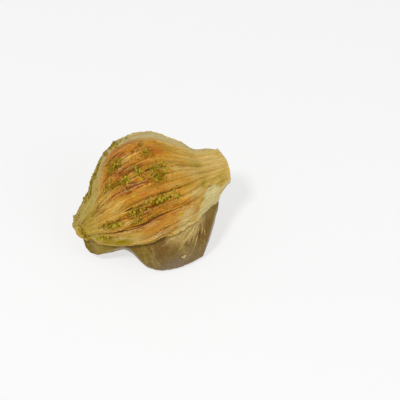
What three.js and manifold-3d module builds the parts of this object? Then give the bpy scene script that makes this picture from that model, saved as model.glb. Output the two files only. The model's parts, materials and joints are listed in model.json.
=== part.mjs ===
// A mussel-shaped baklava piece: a fan of pleated filo leaves baked over a leaf of dough that holds its
// filling. Millimetres, +Z up, origin on the surface it stands on, under the middle of its outline.
// The leaves run like meridians from a flat tip at -X to a gathered tail at +X, so every shape here is a
// radius about one sloping axis: it depends on the place along the axis (0 at the tip, 1 at the tail)
// and on the angle round it (0 to the front, 90 up, 180 to the back, in degrees).
import * as THREE from "three";
import { mergeVertices } from "three/addons/utils/BufferGeometryUtils.js";
import Module from "manifold-3d";

const wasm = await Module();
wasm.setup();

// ---- Driving dimensions ----

// The axis, from the middle of the tip to the middle of the tail.
const TIP = new THREE.Vector3(-32.3, -12.95, 11.5);
const TAIL = new THREE.Vector3(34.3, 7.65, 31.5);

// Radii of the bed that the leaves stand on, as [place along the axis, radius].
const FAN_UP = [
  [0, 3.6], [0.14, 10.4], [0.21, 15.6], [0.34, 22.8], [0.45, 24.5], [0.56, 24.9], [0.65, 23.4],
  [0.7, 20.9], [0.75, 17.8], [0.8, 15.1], [0.86, 11], [0.95, 9.2], [1, 7.9],
];
const FAN_BACK = [
  [0, 7.4], [0.14, 14.1], [0.21, 19.9], [0.34, 28.2], [0.45, 30], [0.56, 30.3], [0.65, 28.5],
  [0.7, 25.4], [0.75, 21.7], [0.8, 18.3], [0.86, 13.1], [0.95, 11.1], [1, 8.8],
];
const FAN_FRONT = [
  [0, 7.4], [0.25, 20.2], [0.42, 24.2], [0.655, 21.4], [0.84, 15.3], [0.925, 10.4], [1, 7.2],
];
const FAN_DOWN = [[0, 2.2], [0.14, 7], [0.3, 17], [0.5, 22], [0.7, 19], [0.87, 9.5], [1, 6.4]];
const FAN_SQUARENESS = 2.35;
// The tail is pressed flat across this angle, to this share of its round radius.
const TAIL_PINCH_ANGLE = 47;
const TAIL_PINCH = [[0, 0], [0.7, 0], [0.88, 0.3], [1, 0.52]];
// The leaves run a little past both ends of the axis. Each end leans over, from its upper to its lower
// corner, and bows out in the middle by so many mm.
const FAN_START = -0.028;
const FAN_END = 1.017;
const TIP_SKEW = 2.2;
const TIP_BOW = 2;
const TAIL_SKEW = 1;
const TAIL_BOW = 1.8;
const END_REACH = 0.15;
const END_HOLLOW = 1.5;

// The leaves wrap the bed from the front rim to the back rim.
const FRONT_RIM = [[0, -26], [0.06, -12], [0.12, -5], [0.5, -2], [0.8, -8], [0.92, -34], [1, -62]];
const BACK_RIM = [[0, 196], [0.12, 205], [0.5, 216], [0.8, 222], [0.92, 244], [1, 268]];
const FULLEST = 0.5;
// Towards both ends the leaves spread away from the one at this angle.
const PIVOT_ANGLE = 64;
// Widths of the leaves in degrees where the fan is fullest, from the front rim to the back rim.
const LEAF_WIDTHS = [11, 16, 12, 9, 9, 8, 8, 7, 8, 7, 6, 6, 6, 34, 18, 17, 15, 12, 10];
// The first leaf whose free edge faces forward over the crest, and the width of the furrow before it.
const FIRST_BACK_LEAF = 13;
const CREST_FURROW = 0.6;
const LEAF_HEIGHT = 2.3;
const FINE_LEAF_WIDTH = 8.5;
const FINE_LEAF_HEIGHT = 1.8;
const LEAF_OVERHANG = 1.1;
const LEAF_RISE = [[0, 0.35], [0.12, 0.75], [0.3, 1], [0.65, 1], [0.85, 0.55], [1, 0.22]];
// A leaf is drawn with one point for this many degrees of its width, closer together near its root.
const LEAF_STEP = 5.2;
const LEAF_CROWDING = 1.3;
const LEAF_ROUNDNESS = 1.9;
// The crevices between the leaves go this far under the bed, as a share of the height of the leaf.
const CREVICE_SHARE = 0.3;
const LEAF_UNEVENNESS = 0.3;
const LEAF_WANDER = 1.3;

// The filo is this thick at the rims and at the crest. Under the rims the fan's own underside lies this
// far inside the belly, except where it shows: there, near both ends, it closes the fan.
const SKIN_RIM = 1.7;
const SKIN_CREST = 6.5;
const UNDERSIDE_INSET = 3.3;
const LEAST_RADIUS = 0.8;
const UNDERSIDE_CLOSED = [[-0.03, 1], [0.045, 1], [0.075, 0], [0.86, 0], [0.92, 1], [1.02, 1]];

// The filled leaf under the fan: radii about the same axis. It starts as a thin lip under the tip.
const BELLY_FRONT = [
  [-0.004, 8.5], [0.012, 12.8], [0.03, 14.3], [0.06, 15.2], [0.1, 15.9], [0.14, 16.8],
  [0.21, 17.6], [0.25, 18.8], [0.305, 26.8], [0.37, 30.4], [0.45, 33.6], [0.53, 34.6],
  [0.614, 33], [0.69, 27.6], [0.762, 22], [0.83, 16.6], [0.87, 13], [0.905, 4],
];
const BELLY_DOWN = [
  [-0.004, 5], [0.012, 7.6], [0.03, 9], [0.06, 10], [0.1, 10.4], [0.14, 10.8], [0.21, 11.6],
  [0.25, 14.2], [0.28, 21], [0.34, 27.4], [0.45, 32.5], [0.53, 34.4], [0.614, 33.4],
  [0.69, 29.6], [0.762, 24.6], [0.83, 18], [0.87, 13], [0.905, 4],
];
const BELLY_BACK = [
  [0.004, 6], [0.12, 11], [0.21, 18], [0.3, 24], [0.45, 28], [0.56, 28.6], [0.69, 24], [0.8, 16],
  [0.87, 9], [0.905, 3],
];
const BELLY_UP = [
  [0.004, 7], [0.14, 12], [0.34, 22], [0.56, 24.5], [0.7, 20], [0.87, 11], [0.905, 8],
];
const BELLY_SQUARENESS = 2.5;
// Below the rim the belly is free to swell by so many mm for each degree.
const SWELL_PER_DEGREE = [[0, 0.6], [0.2, 0.45], [0.3, 0.34], [1, 0.34]];
// The flat underside turns up into the sides over this share of its distance from the axis.
const BASE_ROUNDING = 0.14;
// Soft creases run round the belly, leaning a little, from this many degrees below the rim.
const CREASE_DEPTH = 0.35;
const CREASES = 11;
const CREASE_LEAN = 9;
const CREASE_START = 12;

const GAP = 0.3;
// Slivers thinner than this are merged away where solids were joined or cut.
const FINEST = 0.02;

// Ground nuts, strewn over the crest and fallen between the leaves: the place along the axis and angle
// of each cluster, how far it spreads in both, and how many grains it holds.
const NUT_CLUSTERS = [
  [0.22, 35, 0.07, 3, 8],
  [0.38, 40, 0.05, 3, 7],
  [0.55, 42, 0.06, 3, 9],
  [0.65, 39, 0.02, 3, 3],
  [0.13, 18, 0.04, 2, 4],
  [0.39, 74, 0.05, 4, 8],
  [0.49, 78, 0.03, 5, 5],
  [0.6, 68, 0.07, 7, 9],
  [0.58, 95, 0.03, 4, 4],
  [0.37, 103, 0.05, 4, 7],
  [0.29, 82, 0.04, 3, 4],
  [0.3, 134, 0.16, 9, 10],
  [0.18, 141, 0.08, 7, 6],
  [0.45, 168, 0.2, 14, 7],
];
const NUT_SIZE = [0.6, 1.05];
const NUT_LUMPS = [0.75, 1.25];
const NUT_SUNK = 0.35;

const FAN_ROWS = 38;
const BELLY_ROWS = 31;
const BELLY_CROWDING = 1.2;
const BELLY_COLUMNS = 36;
const UNDERSIDE_COLUMNS = 10;

// ---- Helpers ----

const DEGREE = Math.PI / 180;
const lerp = (a, b, t) => a + (b - a) * t;
const clamp = (x, low, high) => Math.min(high, Math.max(low, x));

// A repeatable random number from 0 to 1 for each whole number.
function chance(n) {
  const x = Math.sin(n * 127.1 + 311.7) * 43758.5453;
  return x - Math.floor(x);
}

// The smooth curve through [place, value] knots that never overshoots them.
function along(knots, place) {
  const last = knots.length - 1;
  if (place <= knots[0][0]) return knots[0][1];
  if (place >= knots[last][0]) return knots[last][1];
  let k = 0;
  while (place > knots[k + 1][0]) k += 1;
  const slope = (i) => (knots[i + 1][1] - knots[i][1]) / (knots[i + 1][0] - knots[i][0]);
  const tangent = (i) => {
    if (i === 0 || i === last) return 0;
    const before = slope(i - 1);
    const after = slope(i);
    return before * after <= 0 ? 0 : (2 * before * after) / (before + after);
  };
  const span = knots[k + 1][0] - knots[k][0];
  const t = (place - knots[k][0]) / span;
  const start = k === 0 ? slope(0) : tangent(k);
  const end = k + 1 === last ? slope(k) : tangent(k + 1);
  return (
    knots[k][1] * (1 + 2 * t) * (1 - t) ** 2 +
    start * span * t * (1 - t) ** 2 +
    knots[k + 1][1] * t * t * (3 - 2 * t) +
    end * span * t * t * (t - 1)
  );
}

// The axis and the two directions across it.
const AXIS = TAIL.clone().sub(TIP).normalize();
const UP = new THREE.Vector3(0, 0, 1).addScaledVector(AXIS, -AXIS.z).normalize();
const FRONT = AXIS.clone().cross(UP);

// The point at a place along the axis, an angle round it and a radius from it.
function pointAt(place, angle, radius) {
  const turn = angle * DEGREE;
  return TIP.clone()
    .lerp(TAIL, place)
    .addScaledVector(FRONT, radius * Math.cos(turn))
    .addScaledVector(UP, radius * Math.sin(turn));
}

// The polar radius of a squared-off oval with its own reach in each of four directions.
function ovalRadius(angle, front, up, back, down, squareness) {
  const c = Math.cos(angle * DEGREE);
  const s = Math.sin(angle * DEGREE);
  const across = Math.abs(c) / (c > 0 ? front : back);
  const rise = Math.abs(s) / (s > 0 ? up : down);
  return (across ** squareness + rise ** squareness) ** (-1 / squareness);
}

// A closed geometry from rings of points, all with the same number of points, capped at both ends. The
// middle of each cap is sunk along the axis by the hollow.
function loft(rings, hollow = 0) {
  const count = rings[0].length;
  const positions = [];
  const faces = [];
  for (const ring of rings) for (const p of ring) positions.push(p.x, p.y, p.z);
  for (let i = 0; i + 1 < rings.length; i += 1) {
    for (let j = 0; j < count; j += 1) {
      const a = i * count + j;
      const b = i * count + ((j + 1) % count);
      faces.push(a, a + count, b, b, a + count, b + count);
    }
  }
  const cap = (ring, base, first) => {
    const middle = ring.reduce((sum, p) => sum.add(p), new THREE.Vector3()).divideScalar(count);
    middle.addScaledVector(AXIS, first ? hollow : -hollow);
    const centre = positions.length / 3;
    positions.push(middle.x, middle.y, middle.z);
    for (let j = 0; j < count; j += 1) {
      const a = base + j;
      const b = base + ((j + 1) % count);
      faces.push(...(first ? [a, b, centre] : [b, a, centre]));
    }
  };
  cap(rings[0], 0, true);
  cap(rings.at(-1), (rings.length - 1) * count, false);
  const geometry = new THREE.BufferGeometry();
  geometry.setAttribute("position", new THREE.Float32BufferAttribute(positions, 3));
  geometry.setIndex(faces);
  return geometry;
}

function solidFrom(geometry) {
  const bare = geometry.clone();
  for (const name of ["normal", "uv"]) bare.deleteAttribute(name);
  const merged = mergeVertices(bare, 1e-5);
  const solid = new wasm.Manifold(
    new wasm.Mesh({
      numProp: 3,
      vertProperties: new Float32Array(merged.attributes.position.array),
      triVerts: new Uint32Array(merged.index.array),
    }),
  );
  if (solid.volume() < 0) throw new Error("a loft faces inwards");
  return solid;
}

function geometryFrom(solid) {
  const mesh = solid.getMesh();
  const geometry = new THREE.BufferGeometry();
  geometry.setAttribute("position", new THREE.BufferAttribute(mesh.vertProperties, 3));
  geometry.setIndex(new THREE.BufferAttribute(mesh.triVerts, 1));
  return geometry.toNonIndexed();
}

// ---- The pleated fan ----

// The bed that the leaves stand on.
function bedRadius(place, angle) {
  const round = ovalRadius(
    angle,
    along(FAN_FRONT, place),
    along(FAN_UP, place),
    along(FAN_BACK, place),
    along(FAN_DOWN, place),
    FAN_SQUARENESS,
  );
  const facing = Math.cos((angle - TAIL_PINCH_ANGLE) * DEGREE);
  return round * (1 - along(TAIL_PINCH, place) * facing * facing);
}

// How thick the filo is at a share of the way from the front rim to the back rim.
function skinThickness(share) {
  return lerp(SKIN_RIM, SKIN_CREST, Math.sin(Math.PI * clamp(share, 0, 1)));
}

function rims(place) {
  return [along(FRONT_RIM, place), along(BACK_RIM, place)];
}

const leafEdges = LEAF_WIDTHS.reduce((edges, width) => [...edges, edges.at(-1) + width], [0]);
const leafTotal = leafEdges.at(-1);

// The angle of the line between two leaves, which wanders a little along the fan.
function edgeAngle(edge, place) {
  const [front, back] = rims(place);
  const [fullFront, fullBack] = rims(FULLEST);
  const full = lerp(fullFront, fullBack, leafEdges[edge] / leafTotal);
  const rim = full < PIVOT_ANGLE ? front : back;
  const fullRim = full < PIVOT_ANGLE ? fullFront : fullBack;
  const spread = (rim - PIVOT_ANGLE) / (fullRim - PIVOT_ANGLE);
  const inner = edge > 0 && edge < LEAF_WIDTHS.length;
  const waves = place * (1 + chance(edge)) + chance(edge + 40);
  const wander = inner ? LEAF_WANDER * Math.sin(2 * Math.PI * waves) : 0;
  return PIVOT_ANGLE + (full - PIVOT_ANGLE) * spread + wander;
}

function leafHeight(leaf, place) {
  const most = LEAF_WIDTHS[leaf] < FINE_LEAF_WIDTH ? FINE_LEAF_HEIGHT : LEAF_HEIGHT;
  const waves = place * (1.2 + 2 * chance(leaf + 80)) + chance(leaf + 120);
  return most * along(LEAF_RISE, place) * (1 + LEAF_UNEVENNESS * Math.sin(2 * Math.PI * waves));
}

// Angle and height of the points across one leaf. It rises from its root in a crevice to its free edge,
// which stands up towards the crest and hangs over the next root a little.
function leafProfile(leaf, place) {
  const height = leafHeight(leaf, place);
  const facesBack = leaf < FIRST_BACK_LEAF;
  const atCrest = leaf === FIRST_BACK_LEAF - 1 || leaf === FIRST_BACK_LEAF;
  const low = edgeAngle(leaf, place);
  const high = edgeAngle(leaf + 1, place);
  const [root, edge] = facesBack ? [low, high] : [high, low];
  const steps = Math.max(2, Math.round(LEAF_WIDTHS[leaf] / LEAF_STEP));
  const points = [];
  for (let k = 0; k <= steps; k += 1) {
    const t = (k / steps) ** LEAF_CROWDING;
    const overhang = k === steps && !atCrest ? LEAF_OVERHANG * Math.sign(edge - root) : 0;
    const rise = 1 - (1 - t) ** LEAF_ROUNDNESS - CREVICE_SHARE;
    points.push({ angle: lerp(root, edge, t) + overhang, height: height * rise });
  }
  return facesBack ? points : points.reverse();
}

// How far a point near either end slides along the axis, to lean and bow that end.
function endShift(place, angle) {
  const lean = -Math.cos((angle - 90 - TAIL_PINCH_ANGLE) * DEGREE);
  const tip = 1 - clamp((place - FAN_START) / END_REACH, 0, 1);
  const tail = 1 - clamp((FAN_END - place) / END_REACH, 0, 1);
  return (
    tip * ((TIP_SKEW * lean) / 2 + TIP_BOW * lean ** 4) -
    tail * ((TAIL_SKEW * lean) / 2 + TAIL_BOW * lean ** 4)
  );
}

// One ring of the fan: the leaves from rim to rim, then the hidden underside back to the front rim.
function fanRing(place) {
  const [front, back] = rims(place);
  const ring = [];
  const add = (angle, radius) => {
    ring.push(pointAt(place, angle, radius).addScaledVector(AXIS, endShift(place, angle)));
  };
  LEAF_WIDTHS.forEach((_, leaf) => {
    for (const p of leafProfile(leaf, place)) add(p.angle, bedRadius(place, p.angle) + p.height);
    if (leaf === FIRST_BACK_LEAF - 1) {
      const furrow = edgeAngle(leaf + 1, place);
      const depth = CREVICE_SHARE * leafHeight(leaf, place);
      add(furrow + CREST_FURROW, bedRadius(place, furrow) - depth);
    }
  });
  const inset = UNDERSIDE_INSET * (1 - along(UNDERSIDE_CLOSED, place));
  for (let j = 1; j < UNDERSIDE_COLUMNS; j += 1) {
    const angle = lerp(back, front + 360, j / UNDERSIDE_COLUMNS);
    add(angle, Math.max(LEAST_RADIUS, bedRadius(place, angle) - inset));
  }
  return ring;
}

function fanSolid() {
  const rings = [];
  for (let i = 0; i <= FAN_ROWS; i += 1) rings.push(fanRing(lerp(FAN_START, FAN_END, i / FAN_ROWS)));
  return solidFrom(loft(rings, END_HOLLOW));
}

// ---- The filled belly ----

// The belly fills out its own oval, but stays under the leaves and only swells out below their rims.
function bellyRadius(place, angle, grow) {
  const oval = ovalRadius(
    angle,
    along(BELLY_FRONT, place),
    along(BELLY_UP, place),
    along(BELLY_BACK, place),
    along(BELLY_DOWN, place),
    BELLY_SQUARENESS,
  );
  const [front, back] = rims(place);
  const turned = angle < -90 ? angle + 360 : angle;
  const below = turned < front ? front - turned : Math.max(0, turned - back);
  const skin = skinThickness((turned - front) / (back - front));
  const under = bedRadius(place, angle) - skin - GAP + below * along(SWELL_PER_DEGREE, place);
  const wave = Math.sin(CREASES * angle * DEGREE + CREASE_LEAN * place);
  const crease = CREASE_DEPTH * wave * clamp(below / CREASE_START, 0, 1);
  return Math.max(LEAST_RADIUS, Math.min(oval, under) + crease) + grow;
}

// The radius held back by the surface it stands on, where that surface is at the given distance.
function rested(radius, ground) {
  const reach = radius / ground;
  if (reach <= 1 - BASE_ROUNDING) return radius;
  if (reach >= 1 + BASE_ROUNDING) return ground;
  return ground * (reach - (reach - 1 + BASE_ROUNDING) ** 2 / (4 * BASE_ROUNDING));
}

function bellySolid(grow) {
  const rings = [];
  const start = BELLY_FRONT[0][0];
  const end = BELLY_FRONT.at(-1)[0];
  for (let i = 0; i <= BELLY_ROWS; i += 1) {
    const place = lerp(start, end, (i / BELLY_ROWS) ** BELLY_CROWDING);
    const height = lerp(TIP.z, TAIL.z, place);
    const ring = [];
    for (let j = 0; j < BELLY_COLUMNS; j += 1) {
      const angle = -90 + (360 * j) / BELLY_COLUMNS;
      const drop = -Math.sin(angle * DEGREE) * UP.z;
      const ground = drop > 0 ? height / drop : Infinity;
      ring.push(pointAt(place, angle, rested(bellyRadius(place, angle, grow), ground)));
    }
    rings.push(ring);
  }
  return solidFrom(loft(rings));
}

// ---- The ground nuts ----

// One nut grain: an uneven eight-sided lump.
function nutGrain(seed, size) {
  const grain = new THREE.OctahedronGeometry(size);
  const spots = grain.attributes.position;
  const lumps = new Map();
  for (let i = 0; i < spots.count; i += 1) {
    const spot = new THREE.Vector3().fromBufferAttribute(spots, i);
    const corner = spot.toArray().map(Math.round).join();
    if (!lumps.has(corner)) lumps.set(corner, lerp(...NUT_LUMPS, chance(seed * 7 + lumps.size)));
    spot.multiplyScalar(lumps.get(corner));
    spots.setXYZ(i, spot.x, spot.y, spot.z);
  }
  return grain.rotateX(6 * chance(seed + 0.3)).rotateZ(6 * chance(seed + 0.6));
}

// How high the leaves stand over their bed at a place and angle.
function reliefAt(place, angle) {
  const points = LEAF_WIDTHS.flatMap((_, leaf) => leafProfile(leaf, place));
  const next = points.findIndex((p) => p.angle >= angle);
  if (next < 1) return 0;
  const [before, after] = [points[next - 1], points[next]];
  return lerp(before.height, after.height, (angle - before.angle) / (after.angle - before.angle));
}

function nutSolids() {
  const nuts = [];
  NUT_CLUSTERS.forEach(([centre, turn, length, width, count], cluster) => {
    for (let n = 0; n < count; n += 1) {
      const seed = 1000 * (cluster + 1) + 10 * n;
      const place = centre + length * (2 * chance(seed) - 1);
      const angle = turn + width * (2 * chance(seed + 1) - 1);
      const size = lerp(...NUT_SIZE, chance(seed + 2));
      const radius = bedRadius(place, angle) + reliefAt(place, angle) + size * (1 - 2 * NUT_SUNK);
      const spot = pointAt(place, angle, radius);
      nuts.push(solidFrom(nutGrain(seed, size).translate(spot.x, spot.y, spot.z)));
    }
  });
  return nuts;
}

// ---- The assembled piece ----

const belly = bellySolid(0);
let fan = fanSolid().subtract(bellySolid(GAP));
for (const nut of nutSolids()) fan = fan.add(nut);
fan = fan.simplify(FINEST);
// The largest body is the fan; specks cut loose and pockets closed off under a nut are dropped.
fan = fan.decompose().sort((a, b) => b.volume() - a.volume())[0];

const filo = new THREE.MeshStandardMaterial({ color: 0xbe8a44, roughness: 0.45, metalness: 0 });
const dough = new THREE.MeshStandardMaterial({ color: 0x826538, roughness: 0.3, metalness: 0 });

const piece = new THREE.Group();
for (const [name, solid, material] of [["pleated_fan", fan, filo], ["filled_belly", belly, dough]]) {
  const mesh = new THREE.Mesh(geometryFrom(solid), material);
  mesh.name = name;
  piece.add(mesh);
}

export default piece;
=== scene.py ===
# %% [markdown]
# # A baklava piece folded like a mussel shell
# Many thin sheets of dough are stacked, buttered and pressed into a fan. In the oven the sheets part
# into crisp leaves that run from a flat tip to a gathered tail. Under the fan lies one soft leaf that
# holds the filling, and ground pistachio is strewn over the top. The lesson builds the fan first,
# then its torn sheets, the nuts, the soft leaf, and last the light and the camera.

# %% The frame
import json

import bpy
import numpy as np
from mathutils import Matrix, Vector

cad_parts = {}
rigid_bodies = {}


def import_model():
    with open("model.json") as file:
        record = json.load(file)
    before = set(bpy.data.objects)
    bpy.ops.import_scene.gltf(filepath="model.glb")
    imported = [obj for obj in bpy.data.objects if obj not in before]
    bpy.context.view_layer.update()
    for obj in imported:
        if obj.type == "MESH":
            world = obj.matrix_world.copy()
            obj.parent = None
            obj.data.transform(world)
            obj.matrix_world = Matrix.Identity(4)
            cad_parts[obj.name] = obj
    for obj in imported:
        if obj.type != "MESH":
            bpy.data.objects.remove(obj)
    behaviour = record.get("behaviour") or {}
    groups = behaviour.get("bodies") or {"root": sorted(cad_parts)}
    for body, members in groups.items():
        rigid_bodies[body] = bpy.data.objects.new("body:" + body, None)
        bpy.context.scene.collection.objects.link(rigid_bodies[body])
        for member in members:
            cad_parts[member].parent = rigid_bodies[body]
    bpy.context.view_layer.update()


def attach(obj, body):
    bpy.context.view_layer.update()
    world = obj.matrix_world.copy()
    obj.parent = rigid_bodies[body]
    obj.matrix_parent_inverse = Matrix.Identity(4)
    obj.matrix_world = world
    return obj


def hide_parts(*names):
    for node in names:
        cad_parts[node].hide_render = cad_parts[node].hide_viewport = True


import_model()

# %% [markdown]
# ## The rule behind every shape
# All leaves run like meridians round one sloping axis, so a point is named by its place along the
# axis (0 at the tip, 1 at the tail), an angle round it (0 front, 90 up, 180 back) and a radius. A few
# knots on a smooth curve give each radius. It could be sculpted by hand, but a rule keeps the solid's
# own form while the mesh gets a hundred times finer. Sizes are in millimetres until a mesh is made.

# %% Curves through knots and repeatable chance
MM = 0.001


def lerp(a, b, t):
    return a + (b - a) * t


def smooth(low, high, x):
    t = np.clip((x - low) / (high - low), 0, 1)
    return t * t * (3 - 2 * t)


def chance(n):
    x = np.sin(np.asarray(n, float) * 127.1 + 311.7) * 43758.5453
    return x - np.floor(x)


def along(knots, place):
    """The smooth curve through (place, value) knots that never overshoots them."""
    spots, values = np.array(knots, float).T
    spans = np.diff(spots)
    slopes = np.diff(values) / spans
    tangents = np.concatenate(([slopes[0]], np.zeros(len(spots) - 2), [slopes[-1]]))
    for i in range(1, len(spots) - 1):
        before, after = slopes[i - 1], slopes[i]
        tangents[i] = 0 if before * after <= 0 else 2 * before * after / (before + after)
    k = np.clip(np.searchsorted(spots, place, side="right") - 1, 0, len(spans) - 1)
    t = np.clip((place - spots[k]) / spans[k], 0, 1)
    return (
        values[k] * (1 + 2 * t) * (1 - t) ** 2
        + tangents[k] * spans[k] * t * (1 - t) ** 2
        + values[k + 1] * t * t * (3 - 2 * t)
        + tangents[k + 1] * spans[k] * t * t * (t - 1)
    )


def ripple(place, seed, waves):
    """An uneven wavy line between -1 and 1, with about so many waves from tip to tail."""
    total = 0.0
    for k in range(3):
        turns = place * waves * (0.6 + 0.8 * chance(seed + 7 * k)) + chance(seed + 7 * k + 3)
        total = total + np.sin(2 * np.pi * turns) / 3
    return total


print("halfway between two knots:", float(along(((0, 0), (1, 2)), 0.5)))

# %% The axis and the bed of the fan
TIP = np.array((-32.3, -12.95, 11.5))
TAIL = np.array((34.3, 7.65, 31.5))
AXIS = (TAIL - TIP) / np.linalg.norm(TAIL - TIP)
UP = np.array((0, 0, 1)) - AXIS * AXIS[2]
UP /= np.linalg.norm(UP)
FRONT = np.cross(AXIS, UP)
LENGTH = np.linalg.norm(TAIL - TIP)

FAN_UP = (
    (0, 3.6), (0.14, 10.4), (0.21, 15.6), (0.34, 22.8), (0.45, 24.5), (0.56, 24.9), (0.65, 23.4),
    (0.7, 20.9), (0.75, 17.8), (0.8, 15.1), (0.86, 11), (0.95, 9.2), (1, 7.9),
)
FAN_BACK = (
    (0, 7.4), (0.14, 14.1), (0.21, 19.9), (0.34, 28.2), (0.45, 30), (0.56, 30.3), (0.65, 28.5),
    (0.7, 25.4), (0.75, 21.7), (0.8, 18.3), (0.86, 13.1), (0.95, 11.1), (1, 8.8),
)
FAN_FRONT = ((0, 7.4), (0.25, 20.2), (0.42, 24.2), (0.655, 21.4), (0.84, 15.3), (0.925, 10.4), (1, 7.2))
FAN_DOWN = ((0, 2.2), (0.14, 7), (0.3, 17), (0.5, 22), (0.7, 19), (0.87, 9.5), (1, 6.4))
FAN_SQUARENESS = 2.35
TAIL_PINCH_ANGLE = 47
TAIL_PINCH = ((0, 0), (0.7, 0), (0.88, 0.3), (1, 0.52))
FAN_START, FAN_END = -0.028, 1.017
TIP_SKEW, TIP_BOW = 2.2, 2
TAIL_SKEW, TAIL_BOW = 1, 1.8
END_REACH = 0.15
END_HOLLOW = 1.5


def outward(angle):
    turn = np.radians(angle)[..., None]
    return FRONT * np.cos(turn) + UP * np.sin(turn)


def sideways(angle):
    return outward(angle + 90)


def point_at(place, angle, radius):
    place, angle, radius = np.broadcast_arrays(place, angle, radius)
    return TIP + (TAIL - TIP) * place[..., None] + outward(angle) * radius[..., None]


def oval_radius(angle, front, up, back, down, squareness):
    c, s = np.cos(np.radians(angle)), np.sin(np.radians(angle))
    across = np.abs(c) / np.where(c > 0, front, back)
    rise = np.abs(s) / np.where(s > 0, up, down)
    return (across**squareness + rise**squareness) ** (-1 / squareness)


def bed_radius(place, angle):
    reaches = [along(knots, place) for knots in (FAN_FRONT, FAN_UP, FAN_BACK, FAN_DOWN)]
    facing = np.cos(np.radians(angle - TAIL_PINCH_ANGLE))
    return oval_radius(angle, *reaches, FAN_SQUARENESS) * (1 - along(TAIL_PINCH, place) * facing**2)


def end_shift(place, angle):
    """How far a point near either end slides along the axis, to lean and bow that end."""
    lean = -np.cos(np.radians(angle - 90 - TAIL_PINCH_ANGLE))
    tip = 1 - np.clip((place - FAN_START) / END_REACH, 0, 1)
    tail = 1 - np.clip((FAN_END - place) / END_REACH, 0, 1)
    return tip * (TIP_SKEW * lean / 2 + TIP_BOW * lean**4) - tail * (
        TAIL_SKEW * lean / 2 + TAIL_BOW * lean**4
    )


def fan_point(place, angle, radius):
    shift = np.broadcast_arrays(end_shift(place, angle), radius)[0]
    return point_at(place, angle, radius) + AXIS * shift[..., None]


print("the axis is", round(float(LENGTH), 1), "mm long")

# %% The leaves
FRONT_RIM = ((0, -26), (0.06, -12), (0.12, -5), (0.5, -2), (0.8, -8), (0.92, -34), (1, -62))
BACK_RIM = ((0, 196), (0.12, 205), (0.5, 216), (0.8, 222), (0.92, 244), (1, 268))
FULLEST = 0.5
PIVOT_ANGLE = 64
LEAF_WIDTHS = (11, 16, 12, 9, 9, 8, 8, 7, 8, 7, 6, 6, 6, 34, 18, 17, 15, 12, 10)
LEAF_EDGES = np.concatenate(([0], np.cumsum(LEAF_WIDTHS)))
FIRST_BACK_LEAF = 13
LEAF_HEIGHT = 2.3
FINE_LEAF_WIDTH, FINE_LEAF_HEIGHT = 8.5, 1.8
LEAF_OVERHANG, OVERHANG_START = 1.1, 0.55
LEAF_RISE = ((0, 0.35), (0.12, 0.75), (0.3, 1), (0.65, 1), (0.85, 0.55), (1, 0.22))
LEAF_ROUNDNESS = 1.4
CREVICE_SHARE = 0.3
LEAF_UNEVENNESS = 0.3
LEAF_WANDER = 1.3
CREST_FURROW, FURROW_START, CREST_DROP = 1.6, 0.8, 3.3
UNDERCUT = 0.8

SKIN_RIM, SKIN_CREST = 1.7, 6.5
LEAST_RADIUS = 0.8
GAP = 0.3


def skin_thickness(share):
    return lerp(SKIN_RIM, SKIN_CREST, np.sin(np.pi * np.clip(share, 0, 1)))


def rims(place):
    return along(FRONT_RIM, place), along(BACK_RIM, place)


def line_angle(full, place):
    """The angle, at each place, of a line along the fan that has this angle where the fan is fullest."""
    side = 0 if full < PIVOT_ANGLE else 1
    spread = (rims(place)[side] - PIVOT_ANGLE) / (rims(FULLEST)[side] - PIVOT_ANGLE)
    return PIVOT_ANGLE + (full - PIVOT_ANGLE) * spread


def edge_angle(edge, place):
    """The angle of the line between two leaves, which wanders a little along the fan."""
    full = lerp(*rims(FULLEST), LEAF_EDGES[edge] / LEAF_EDGES[-1])
    waves = place * (1 + chance(edge)) + chance(edge + 40)
    wander = LEAF_WANDER * np.sin(2 * np.pi * waves) if 0 < edge < len(LEAF_WIDTHS) else 0
    return line_angle(full, place) + wander


print("leaves:", len(LEAF_WIDTHS), "of which in front:", FIRST_BACK_LEAF)

# %% How far the crevices gape
# Where the crevice at each inner line stands open: the middle and reach of the stretch, and how far.
OPEN_STRETCHES = (
    (0.45, 0.14, 0.5), (0.36, 0.25, 1.0), (0.45, 0.22, 0.6), (0.5, 0.24, 1.0), (0.3, 0.09, 0.8),
    (0.41, 0.15, 0.9), (0.36, 0.22, 0.55), (0.53, 0.16, 1.0), (0.48, 0.26, 0.6), (0.42, 0.2, 0.65),
    (0.5, 0.22, 0.6), (0.45, 0.2, 0.55), (0.5, 0.16, 0.5), (0.5, 0.34, 0.22), (0.5, 0.4, 0.8),
    (0.5, 0.4, 0.8), (0.5, 0.4, 0.8), (0.5, 0.4, 0.8),
)
LEAST_OPEN = 0.22
OPEN_UNEVENNESS = 0.3
ROOT_LIFT = 0.75


def openness(edge, place):
    """How far the crevice at a line between leaves is open, from 0 to 1. At the rims it always is."""
    if edge in (0, len(LEAF_WIDTHS)):
        return 1 + 0 * place
    middle, reach, most = OPEN_STRETCHES[edge - 1]
    stretch = np.exp(-(((place - middle) / reach) ** 4))
    uneven = 1 + OPEN_UNEVENNESS * ripple(place, 300 + edge, 9)
    return np.clip(lerp(LEAST_OPEN, most, stretch) * uneven, 0, 1)


def leaf_height(leaf, place):
    most = FINE_LEAF_HEIGHT if LEAF_WIDTHS[leaf] < FINE_LEAF_WIDTH else LEAF_HEIGHT
    waves = place * (1.2 + 2 * chance(leaf + 80)) + chance(leaf + 120)
    return most * along(LEAF_RISE, place) * (1 + LEAF_UNEVENNESS * np.sin(2 * np.pi * waves))


print("crevices that open and close:", len(OPEN_STRETCHES))

# %% [markdown]
# ## One leaf after another
# A leaf rises from its root in a crevice to a free edge, which hangs a little over the next root. The
# columns of the mesh crowd together at both, because that is where light and shade change fastest.
# Every column remembers which leaf it is on, how far across it and how deep in a crevice, so that the
# fine relief and the finish can follow the leaves later.

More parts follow.
